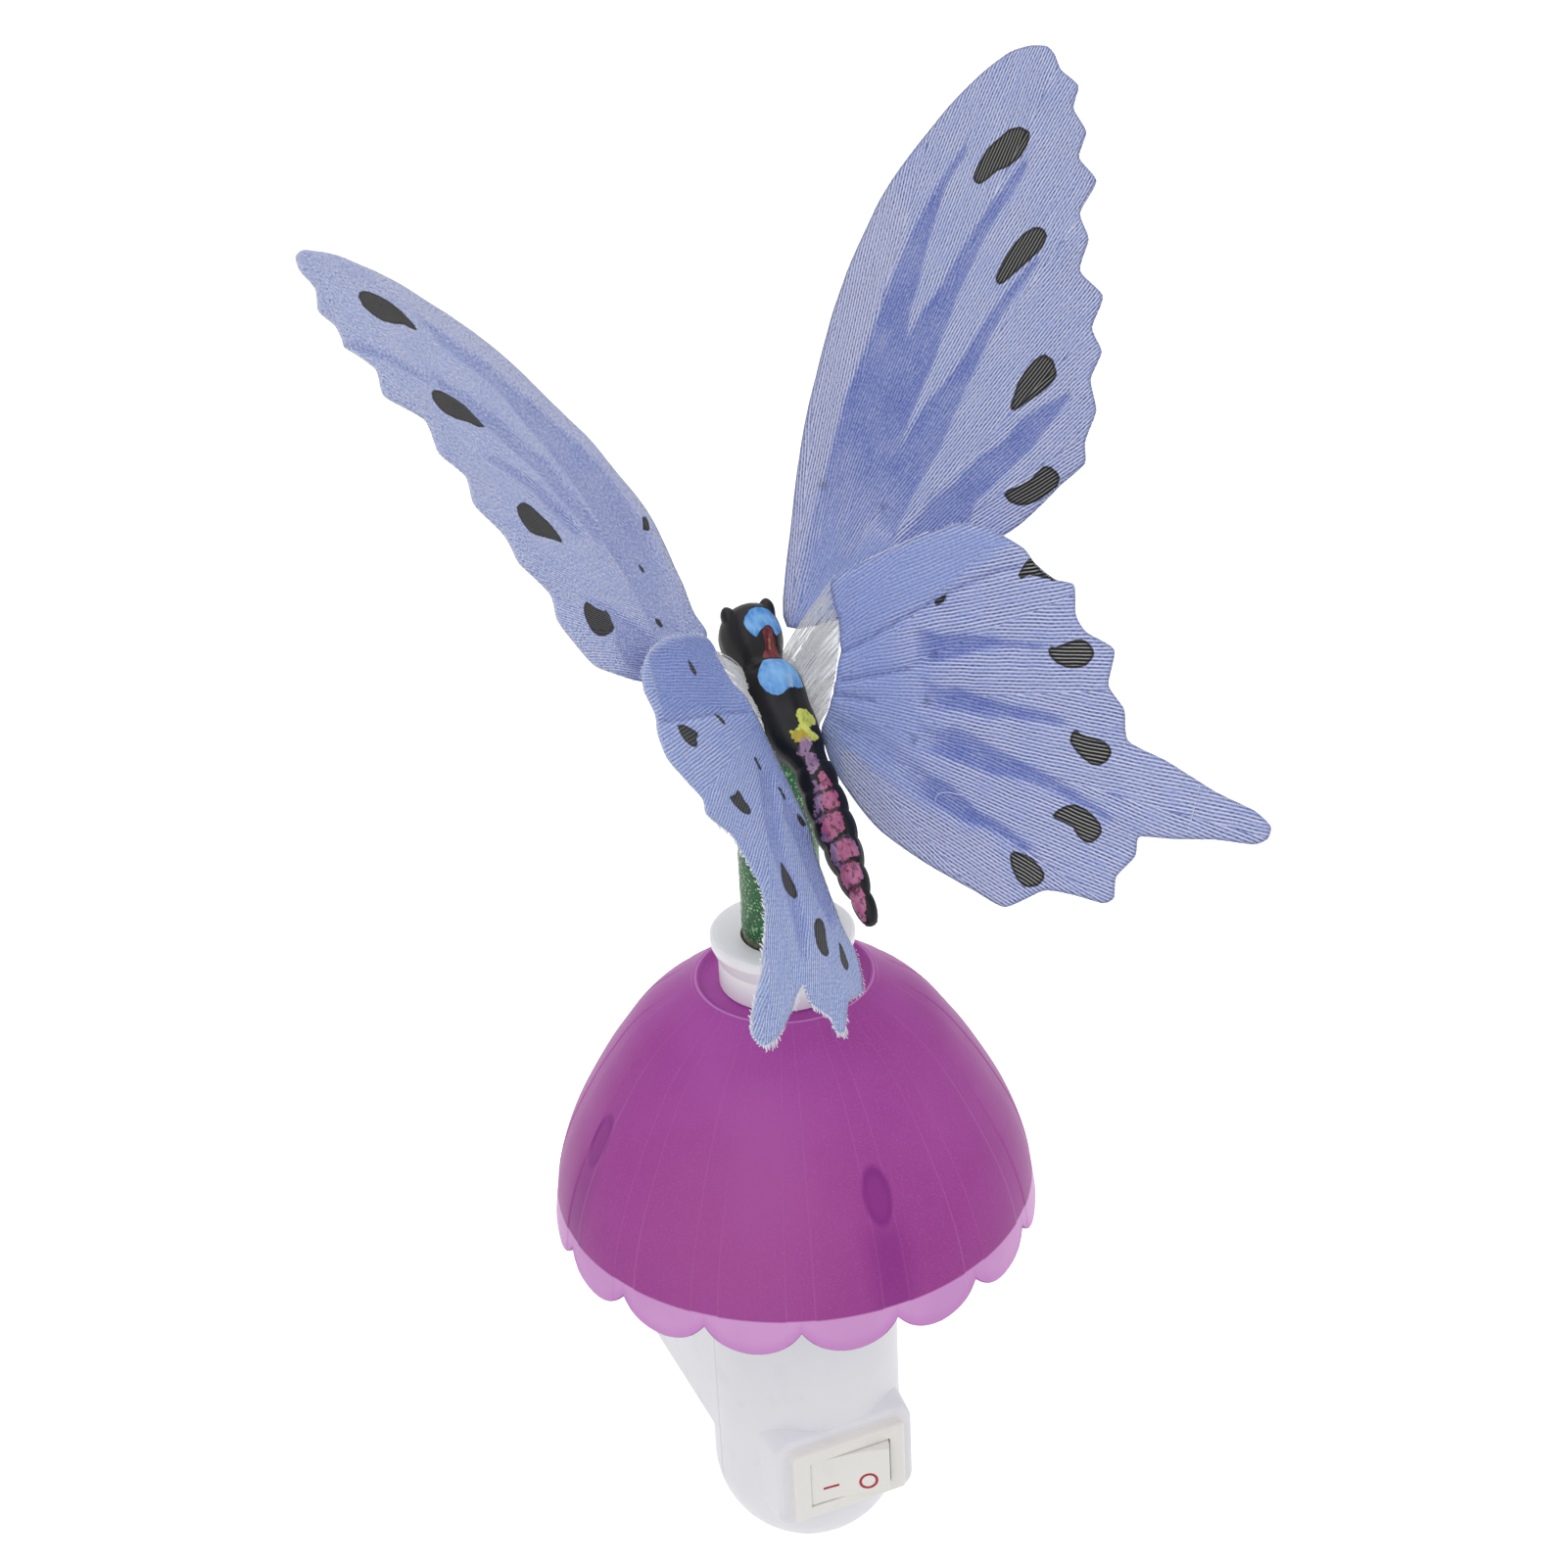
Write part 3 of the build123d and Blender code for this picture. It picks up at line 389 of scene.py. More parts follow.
world = bpy.data.worlds.new("studio")
bpy.context.scene.world = world
world.use_nodes = True
sheet = NodeSheet(world.node_tree)
background = next(n for n in world.node_tree.nodes if n.type == "BACKGROUND")
background.inputs[0].default_value = (1, 1, 1, 1)
sheet.feed(background.inputs[1], white_where_seen(sheet).step(0.0, 1.0, WORLD_LIGHT, 1.0))

floor_material = bpy.data.materials.new("pale_floor")
floor_material.use_nodes = True
floor_material.node_tree.nodes.clear()
sheet = NodeSheet(floor_material.node_tree)
paper_grain = sheet.noise(sheet.place(), 900.0, 3.0)
paper_colour = sheet.mix(paper_grain, screen(236, 236, 236), screen(244, 244, 244))
paper = sheet.add("BsdfDiffuse", {"Color": paper_colour})
glow = sheet.add("Emission", {"Color": (1, 1, 1, 1), "Strength": white_where_seen(sheet) * FLOOR_GLOW})
lit = sheet.add("AddShader", {0: paper.outputs[0], 1: glow.outputs[0]})
clear = sheet.add("BsdfTransparent")
back = sheet.add("NewGeometry").outputs["Backfacing"]
both = sheet.add("MixShader", {0: back, 1: lit.outputs[0], 2: clear.outputs[0]})
sheet.feed(sheet.add("OutputMaterial").inputs[0], both.outputs[0])

steps = [cell * FLOOR_REACH / CELLS_EACH_WAY for cell in range(-CELLS_EACH_WAY, CELLS_EACH_WAY + 1)]
floor = mesh_piece("floor", [(x, LAMP_Y + y, FLOOR_Z) for y in steps for x in steps],
                   grid_faces(len(steps), len(steps), closed=False))
floor.data.materials.append(floor_material)

# place, size and power of each lamp
LAMPS = {
    "key": ((-650, -700, 900), 900, 3.1),
    "fill": ((900, -450, 450), 900, 1.25),
    "top": ((0, 100, 1100), 1000, 2.8),
}
LAMPS_AIM = Vector((0, -30, 60))
for name, (place, size, power) in LAMPS.items():
    lamp = bpy.data.lights.new(name, "AREA")
    lamp.size = size * MM
    lamp.energy = power
    lamp_object = link_object(name, lamp)
    lamp_object.location = Vector(place) * MM
    lamp_object.rotation_euler = (LAMPS_AIM - Vector(place)).to_track_quat("-Z", "Y").to_euler()
bpy.context.scene.view_settings.view_transform = "Standard"
print("floor at", FLOOR_Z, "mm, lamps:", list(LAMPS))

# %% [markdown]
# ## Groups that several finishes share
# Moulded plastic is never one even colour. Its skin has a fine texture from the mould, faint
# clouds from the flow of the melt, and a little dust in places. One node group makes these
# three for every plastic piece, and each material gives it its own colour and sizes.
# A second group makes the fine scratches of rolled or stamped metal, and a third the ripples of
# clear plastic.

# %% Shared group: moulded skin
skin_group, sheet, given = new_group(
    "moulded_skin", {"Colour": "colour", "Dusty colour": "colour", "Grain per metre": "value", "Gloss": "value"})
place = sheet.place()
clouds = sheet.noise(place, 90.0, 3.0)
grain = sheet.noise(place, given["Grain per metre"], 2.0)
dust = sheet.noise(place, 260.0, 6.0).step(0.56, 0.74)
skin = sheet.layers(given["Colour"], (clouds.step(0.3, 0.75, 0.0, 0.35), given["Dusty colour"]),
                    (dust * 0.45, given["Dusty colour"]))
rough = given["Gloss"] + grain.step(0.3, 0.7, -0.05, 0.05)
sheet.give(Colour=skin, Roughness=sheet.math("ADD", rough, dust * 0.08, clamp=True), Height=grain + clouds * 0.5)
print("group", skin_group.name, "ready")

# %% Shared group: worked metal
metal_group, sheet, given = new_group("worked_metal", {"Colour": "colour", "Tarnish": "colour", "Along": "vector"})
place = sheet.place()
lines = sheet.noise(place, 900.0, 4.0, given["Along"])
stains = sheet.noise(place, 320.0, 4.0).step(0.45, 0.7)
sheet.give(Colour=sheet.mix(stains * 0.6, given["Colour"], given["Tarnish"]),
           Roughness=lines.step(0.2, 0.8, 0.22, 0.5), Height=lines)
print("group", metal_group.name, "ready")

# %% Shared group: clear ripples
clear_group, sheet, given = new_group(
    "clear_ripples", {"Colour": "colour", "Deep colour": "colour", "Stretch": "vector"})
ripples = sheet.noise(sheet.place(), 700.0, 3.0, given["Stretch"])
sheet.give(Colour=sheet.mix(ripples, given["Colour"], given["Deep colour"]),
           Roughness=ripples.step(0.2, 0.8, 0.05, 0.2), Height=ripples)
print("group", clear_group.name, "ready")

# %% [markdown]
# ## Finishes of the hard pieces
# Most hard pieces keep their CAD mesh, because turned and moulded shapes come out of CAD
# exactly. They only need a finish. The functions below put the shared groups into a material,
# and a table gives each slot of the record its own values.
# The LED, the tube inside the stem and the bundle of fibres are clear plastic, which shows what
# stands behind it. Its transmission is one plain number on the shader, and only its tint, its
# roughness and its fine ripples vary over the surface.

# %% Plastic, metal and clear materials
def plastic(name, colour, dusty, gloss, grain=4500.0, relief=0.012, **constants):
    """Moulded plastic: relief is the depth of its skin texture in millimetres."""
    values = {"Colour": screen(*colour), "Dusty colour": screen(*dusty), "Grain per metre": grain, "Gloss": gloss}
    return from_group(name, skin_group, values, relief, **constants)


def metal(name, colour, tarnish, along):
    """Rolled or stamped metal with scratches that run along one axis."""
    values = {"Colour": screen(*colour), "Tarnish": screen(*tarnish), "Along": along}
    return from_group(name, metal_group, values, 0.01, Metallic=1.0)


def clear_plastic(name, tint, transmission, stretch):
    """Clear plastic with fine ripples; the tint is nearly white."""
    values = {"Colour": screen(*tint), "Deep colour": screen(*[c * 0.94 for c in tint]), "Stretch": stretch}
    return from_group(name, clear_group, values, 0.01, Transmission_Weight=transmission, IOR=1.49)


FINISHES = {
    "housing": plastic("white_housing", (242, 242, 247), (232, 233, 239), 0.42, Specular_IOR_Level=0.3),
    "switch_plastic": plastic("cream_switch", (243, 241, 236), (234, 232, 226), 0.34, relief=0.005),
    "cap_plastic": plastic("milky_cap", (252, 251, 254), (242, 242, 247), 0.34, relief=0.008),
    "floor_plastic": plastic("floor_plate_white", (238, 238, 240), (224, 225, 229), 0.45),
    "plunger_nylon": plastic("nylon", (226, 222, 206), (208, 202, 184), 0.38),
    "board": plastic("board_resin", (196, 160, 98), (168, 130, 74), 0.5, 2500.0, 0.02),
    "film_capacitor_case": plastic("film_capacitor_red", (150, 48, 34), (122, 34, 26), 0.25),
    "rectifier_case": plastic("rectifier_black", (30, 30, 32), (52, 52, 54), 0.4),
    "resistor_body": plastic("resistor_tan", (196, 170, 122), (164, 134, 92), 0.35),
    "wire_insulation": plastic("wire_white", (222, 222, 218), (196, 196, 190), 0.4),
    "screw_steel": metal("screw_steel", (188, 190, 192), (140, 142, 146), (1.0, 1.0, 8.0)),
    "blade_metal": metal("blade_brass_nickel", (206, 196, 168), (160, 146, 116), (8.0, 1.0, 8.0)),
    "contact_brass": metal("contact_brass", (214, 178, 98), (168, 130, 66), (1.0, 8.0, 8.0)),
    "capacitor_can": metal("capacitor_can", (176, 180, 188), (120, 124, 134), (6.0, 1.0, 6.0)),
    "led_epoxy": clear_plastic("led_epoxy", (244, 246, 250), 0.8, (1.0, 1.0, 1.0)),
    "clear_tube": clear_plastic("clear_tube", (240, 244, 244), 0.85, (1.0, 1.0, 0.1)),
    "fibre": clear_plastic("clear_fibre", (246, 247, 250), 0.45, (1.0, 1.0, 0.1)),
}
print("finishes:", len(FINISHES))

# %% [markdown]
# ### Two dark places
# The two halves of the housing meet in a fine dark line. The deep slot at the rocker's raised end
# lies in shadow, and that shadow is painted as a dark coat. Both are one more coat over a finished
# plastic, with a mask worked out from the object's own coordinates.

# %% Seam of the housing and slot of the switch
SEAM_HALF_WIDTH, SEAM_FADE = 0.04, 0.2
SLOT_LEFT, SLOT_RIGHT, SLOT_HALF_HEIGHT = (4.9, 5.0), (5.35, 5.5), (3.1, 3.35)


def coat_over(material, find_mask, colour):
    """Lay one more colour over a material where its mask says so."""
    sheet, base = NodeSheet(material.node_tree), shader_of(material).inputs["Base Color"]
    sheet.feed(base, sheet.mix(find_mask(sheet), base.links[0].from_socket, screen(*colour)))


def seam_mask(sheet):
    """The line where the halves of the housing meet."""
    y = sheet.parts(sheet.place())[1]
    return abs(y - LAMP_Y * MM).step(SEAM_HALF_WIDTH * MM, SEAM_FADE * MM, 0.5, 0.0)


def slot_shadow_mask(sheet):
    """Painted shadow in the slot beside the raised end of the rocker."""
    x, _, z = sheet.parts(sheet.place())
    left, right, height = ([c * MM for c in pair] for pair in (SLOT_LEFT, SLOT_RIGHT, SLOT_HALF_HEIGHT))
    return x.step(*left) * x.step(*right, 1.0, 0.0) * abs(z - SWITCH_Z * MM).step(*height, 0.85, 0.0)


coat_over(FINISHES["housing"], seam_mask, (176, 176, 182))
# painted shadow in the slot at the rocker's raised end
coat_over(FINISHES["switch_plastic"], slot_shadow_mask, (112, 102, 92))
print("seam and slot are darkened")

# %% [markdown]
# ## The violet shade
# The shade is a thin moulded dome with sixteen petals. Each petal ends in a round lobe, and
# where two petals meet a shallow flat strip runs up to the ring at the top, so each joint shows
# as two fine lines. The dome could be a revolved curve with the lobes cut off, but then the rim
# would be full of thin triangles. Here every column of the grid ends on its own point of the
# lobed hem, so the rim is clean and the strips follow the columns exactly.

# %% Shade: outline and lobes
SHADE_LINE = [
    (10.8, 49.5), (17.2, 44.4), (21.1, 39.3), (24.1, 34.2), (26.55, 29.2), (28.2, 24.1), (29.0, 19.0), (29.0, 16.9),
]
LOBES, LOBE_DEPTH, CUSP_Z = 16, 3.0, 20.0
SHADE_RADIUS, SHADE_WALL = 29.0, 1.5
PALE_Z = 21.7
PETAL_ANGLE = 360 / LOBES
STRIP_HALF_ANGLE, STRIP_SLOPE, STRIP_DEPTH = 3.3, 0.5, 0.10
# angles from one cusp to the next, closer together at the strip's two edges
COLUMN_ANGLES = [0, 0.5, 1.1, 1.8, 2.4, 2.8, 3.1, 3.3, 3.5, 3.8, 4.3, 5.2, 6.4, 7.8, 9.4]
COLUMN_ANGLES += [PETAL_ANGLE / 2] + [PETAL_ANGLE - a for a in reversed(COLUMN_ANGLES[1:])]

shade_curve = smooth_line(SHADE_LINE, 24)
shade_curve = shade_curve[np.argsort(shade_curve[:, 1])]


def shade_radius(z):
    """The shade's outer radius at a height."""
    return float(np.interp(z, shade_curve[:, 1], shade_curve[:, 0]))


def hem_height(angle_in_petal):
    """Height of the lobed hem; the angle is measured from a cusp."""
    half = SHADE_RADIUS * math.sin(math.radians(PETAL_ANGLE / 2))
    lobe_radius = (half ** 2 + LOBE_DEPTH ** 2) / (2 * LOBE_DEPTH)
    across = SHADE_RADIUS * math.sin(math.radians(angle_in_petal - PETAL_ANGLE / 2))
    return CUSP_Z - LOBE_DEPTH + lobe_radius - math.sqrt(lobe_radius ** 2 - across ** 2)


def petal_step(angle_in_petal):
    """0 on the strip between two petals, 1 on a petal, with a short slope between them."""
    from_cusp = min(angle_in_petal, PETAL_ANGLE - angle_in_petal)
    slope = min(max((from_cusp - STRIP_HALF_ANGLE + STRIP_SLOPE / 2) / STRIP_SLOPE, 0), 1)
    return slope * slope * (3 - 2 * slope)


print("hem from", round(hem_height(PETAL_ANGLE / 2), 2), "to", round(hem_height(0), 2), "mm")

# %% Shade: mesh
RECESS_LINE = [(6.6, 49.6), (8.0, 49.25), (8.8, 49.05), (9.4, 49.15), (9.9, 49.6), (10.15, 49.95), (10.45, 50.0),
               (10.7, 49.9)]
INNER_TOP_LINE = [(25.0, 30.2), (22.7, 33.6), (19.7, 38.7), (15.8, 43.8), (10.4, 47.6), (8.5, 47.6), (6.6, 47.6)]
# the hem's rounding, inwards and upwards from its outer edge
HEM_LINE = [(-0.1, 0.12), (-0.4, 0.0), (-1.0, 0.0), (-1.3, 0.12), (-1.45, 0.4)]
DOME_TOP_Z, STRIPS_TOP_Z, STRIPS_FADE = 49.5, 48.6, 3.0
INNER_WALL_Z = 27.0
DOME_ROWS, SKIRT_ROWS, INNER_ROWS = 60, 8, 5
FIRST_ROW, ROW_SPACING, HEM_GAP = 0.35, 1.25, 0.35


def shade_column(angle_in_petal):
    """Radius and height of every point of one column, from the recess over the dome and back inside."""
    hem = hem_height(angle_in_petal)
    sunk = STRIP_DEPTH * (1 - petal_step(angle_in_petal))
    line = list(RECESS_LINE)
    for row in range(DOME_ROWS + 1):
        # rows are close together near the ring and further apart down the dome
        t = (row + FIRST_ROW) / (DOME_ROWS + FIRST_ROW)
        z = DOME_TOP_Z + (PALE_Z - DOME_TOP_Z) * t ** ROW_SPACING
        line.append((shade_radius(z) - sunk * min(max((STRIPS_TOP_Z - z) / STRIPS_FADE, 0), 1), z))
    for row in range(1, SKIRT_ROWS + 1):
        z = PALE_Z + (hem + HEM_GAP - PALE_Z) * row / SKIRT_ROWS
        line.append((shade_radius(z) - sunk, z))
    line += [(shade_radius(hem) + inwards, hem + upwards) for inwards, upwards in HEM_LINE]
    for row in range(1, INNER_ROWS):
        z = hem + HEM_LINE[-1][1] + (INNER_WALL_Z - hem) * row / INNER_ROWS
        line.append((shade_radius(z) - SHADE_WALL, z))
    return line + INNER_TOP_LINE


def lathe(columns):
    """Points and faces of a turned piece: columns is a list of (angle, [(radius, z), ...])."""
    rows = len(columns[0][1])
    points = []
    for row in range(rows):
        for angle, line in columns:
            r, z = line[row]
            points.append((r * math.sin(math.radians(angle)), LAMP_Y - r * math.cos(math.radians(angle)), z))
    return points, [face[::-1] for face in grid_faces(rows, len(columns))]


columns = [(lobe * PETAL_ANGLE + angle, shade_column(angle)) for lobe in range(LOBES) for angle in COLUMN_ANGLES]
shade = mesh_piece("scalloped_shade", *lathe(columns))
from_cusp = [angle % PETAL_ANGLE for angle, _ in columns]
rows = len(columns[0][1])
store(shade, "from_line", [abs(min(a, PETAL_ANGLE - a) - STRIP_HALF_ANGLE) for a in from_cusp] * rows)
store(shade, "above_hem", [column[row][1] - hem_height(a)
                           for row in range(rows) for a, (_, column) in zip(from_cusp, columns)])
print("shade:", len(shade.data.vertices), "points")

# %% [markdown]
# ### The shade's satin plastic
# The plastic is dyed violet and slightly cloudy. Light and shade are painted into its colour. It is
# painted deep where the dark inside of the lamp is behind it, and pale pink-violet on the skirt below
# the white floor plate, where light comes through from behind. It is lighter towards the top. Four
# posts inside touch the wall and are painted as darker ovals, each with a painted shadow below it. A
# painted pool of light lies on the front left of the dome, with painted shade further from it, and
# painted highlights run along the edges of the strips and round the rim of the ring. Heights and
# distances from the posts are worked out from the object's own coordinates.

# %% Shade: material
POST_DISTANCE = 24.1
# centre of a painted pool of light on the dome's front left
PAINTED_LIGHT_PLACE = Vector((-16, -52, 33))

shade_material, sheet, shader = new_material("violet_satin")
place = sheet.place()
x, y, z = sheet.parts(place)
from_axis = abs(x), abs(y - LAMP_Y * MM)
along_post = sheet.math("MAXIMUM", *from_axis) - POST_DISTANCE * MM
beside_post = sheet.math("MINIMUM", *from_axis)
post_distance = sheet.math("SQRT", along_post ** 2.0 + beside_post ** 2.0)
oval = post_distance.step(1.4 * MM, 2.0 * MM, 0.7, 0.0) * post_distance.step(0.8 * MM, 1.5 * MM, 0.75, 1.0)
post_shadow = beside_post.step(0.6 * MM, 4.2 * MM, 0.45, 0.0) * along_post.step(0.3 * MM, 2.6 * MM)
to_painted_light = sheet.get("Value", "VectorMath", {0: place, 1: PAINTED_LIGHT_PLACE * MM}, operation="DISTANCE")
clouds, speckle = sheet.noise(place, 60.0, 3.0), sheet.noise(place, 5200.0, 1.0)
dome = sheet.layers(
    screen(164, 72, 154),
    (z.step(22.0 * MM, 46.0 * MM), screen(175, 82, 169)),
    (clouds.step(0.3, 0.7, 0.0, 0.5), screen(152, 54, 138)),
    (speckle.step(0.5, 0.75, 0.0, 0.4), screen(186, 100, 176)),
    # painted highlights along the edges of the strips
    (sheet.stored("from_line").step(0.05, 0.35, 0.15, 0.0), screen(206, 132, 196)),
    # a painted highlight round the rim of the ring
    (z.step(49.95 * MM, 49.985 * MM, 0.0, 0.8), screen(210, 136, 204)),
    # a painted pool of light on the front left of the dome
    (to_painted_light.step(4.0 * MM, 22.0 * MM, 0.36, 0.0), screen(184, 98, 163)),
    # painted shade on the dome further from that light
    (to_painted_light.step(24.0 * MM, 44.0 * MM, 0.0, 0.22), screen(140, 44, 132)),
    # the posts seen through the wall are painted as darker ovals, each with a painted shadow below it
    (sheet.math("MAXIMUM", oval, post_shadow), screen(126, 34, 128)))
above_hem = sheet.stored("above_hem")
skirt = sheet.layers(
    screen(222, 165, 221),
    (clouds.step(0.35, 0.7), screen(212, 153, 213)),
    (above_hem.step(0.2, 2.2, 0.5, 0.0), screen(204, 128, 206)),
    (above_hem.step(0.05, 0.4, 0.7, 0.0), screen(140, 76, 150)))
# the skirt is painted pale with the light that comes through it from behind, and the dome deep with the shade of the
# dark inside
pale = z.step((PALE_Z - 0.15) * MM, (PALE_Z + 0.15) * MM, 1.0, 0.0)
dress(sheet, shader, sheet.mix(pale, dome, skirt), speckle.step(0.3, 0.7, 0.36, 0.46), speckle, 0.006,
      Specular_IOR_Level=0.13)
hand_over(shade, shade_material, instead_of=("shade",))
print("shade has its satin finish")

# %% [markdown]
# ## The stem in glitter film
# The stem is a clear tube wrapped in film that is covered with green glitter. Flakes are tiny
# mirrors that each face their own way. A cell pattern gives every flake its own tint and tilt,
# and the flakes that catch the light are painted pale as glints. A painted shadow darkens the foot
# of the sleeve where it goes into the cap. The mesh itself is a little rough, with the film's
# overlap running up one side.

# %% Stem sleeve
STEM_RADIUS, FILM_INSET, FILM_ROUGHNESS = 4.8, 0.16, 0.06
SLEEVE_LOW, SLEEVE_HIGH = 50.6, 84.0
SLEEVE_COLUMNS, SLEEVE_ROWS = 120, 110
FLAKES_AROUND, FLAKES_UP = 9, 1.9
LAP_ANGLE, LAP_HALF_WIDTH, LAP_HEIGHT = 196, 8, 0.12
noise.seed_set(7)
points = []
for row in range(SLEEVE_ROWS + 1):
    z = SLEEVE_LOW + (SLEEVE_HIGH - SLEEVE_LOW) * row / SLEEVE_ROWS
    for angle in around(SLEEVE_COLUMNS):
        x, y = math.sin(angle), -math.cos(angle)
        flake = noise.noise(Vector((x * FLAKES_AROUND, y * FLAKES_AROUND, z * FLAKES_UP)))
        # the film's overlap is a low step at the back
        lap = LAP_HEIGHT if abs(math.degrees(angle) - LAP_ANGLE) < LAP_HALF_WIDTH else 0.0
        r = STEM_RADIUS - FILM_INSET + FILM_ROUGHNESS * flake + lap
        points.append((r * x, LAMP_Y + r * y, z))
sleeve = mesh_piece("glitter_sleeve", points, grid_faces(SLEEVE_ROWS + 1, SLEEVE_COLUMNS))

glitter, sheet, shader = new_material("green_glitter")
place = sheet.place()
cells = sheet.get("Color", "TexVoronoi", {"Vector": place, "Scale": 5000.0}, voronoi_dimensions="3D")
tone, glint, rare = sheet.parts(cells, "SeparateColor")
# painted shadow at the foot of the sleeve, where it goes into the cap
foot = sheet.parts(place)[2].step(56.0 * MM, 56.9 * MM, 0.85, 0.0)
green = sheet.layers(
    sheet.mix(tone, screen(6, 55, 30), screen(38, 106, 60)),
    # painted glints on the flakes that catch the light
    (glint.step(0.87, 0.95), screen(140, 196, 146)),
    (rare.step(0.95, 0.98), screen(176, 180, 116)),
    (foot, screen(104, 98, 84)))
dress(sheet, shader, green, glint.step(0.0, 1.0, 0.25, 0.55), rare, 0.12, 0.8)
sheet.feed(shader.inputs["Metallic"], tone.step(0.2, 0.9, 0.1, 0.6))
hand_over(sleeve, glitter, instead_of=("stem_sleeve",))
print("sleeve:", len(sleeve.data.vertices), "points")

# %% [markdown]
# ## The butterfly's own frame
# The body leans back: its axis runs from the tail up to the head at 38 degrees. The same frame
# carries the wings. Each wing is drawn flat, then bent a little, raised about the body's axis,
# swept in its own plane and twisted.

# %% Body and wing frames
BODY_CENTRE, BODY_SLOPE = Vector((-0.2, LAMP_Y - 3.0, 89.4)), math.radians(38.0)
BODY_FRAME = Matrix.Translation(BODY_CENTRE) @ Matrix.Rotation(BODY_SLOPE, 4, "X")
FLEX_LENGTH = 50.0
FOREWING_ROOT, HINDWING_ROOT = (3.0, 4.0, -1.0), (3.2, -3.5, 0.0)


def wing_frame(side, root, dihedral, sweep, twist):
    """Matrix from a wing's flat drawing to the lamp's frame."""
    place = BODY_FRAME @ Matrix.Translation((side * root[0], root[1], root[2]))
    for angle, axis in ((-side * dihedral, "Y"), (side * sweep, "Z"), (twist, "X")):
        place = place @ Matrix.Rotation(math.radians(angle), 4, axis)
    return place


def wing_lift(u, v, bend):
    """How far the cloth rises out of its plane at a point of the drawing."""
    across, along = u / FLEX_LENGTH, v / FLEX_LENGTH
    return FLEX_LENGTH * (bend[0] * across ** 2 + bend[1] * across * along + bend[2] * along ** 2)


def on_wing(wing, u, v, rise=0.0):
    """The place on a wing's cloth, with a small rise above it."""
    return wing["place"] @ Vector((wing["side"] * u, v, wing_lift(u, v, wing["bend"]) + rise))


print("butterfly centre", tuple(BODY_CENTRE))

# %% [markdown]
# ## The wings
# The wings are cut from a thin woven cloth with a pair of scissors, so no two are alike. Each
# outline below is a list of points in the wing's own plane, outwards and forwards, in
# millimetres. Cloth like this could come from a simulation, but it is stiffened and only bends
# gently, so a fine triangle mesh that follows a bent surface gives the shape directly.

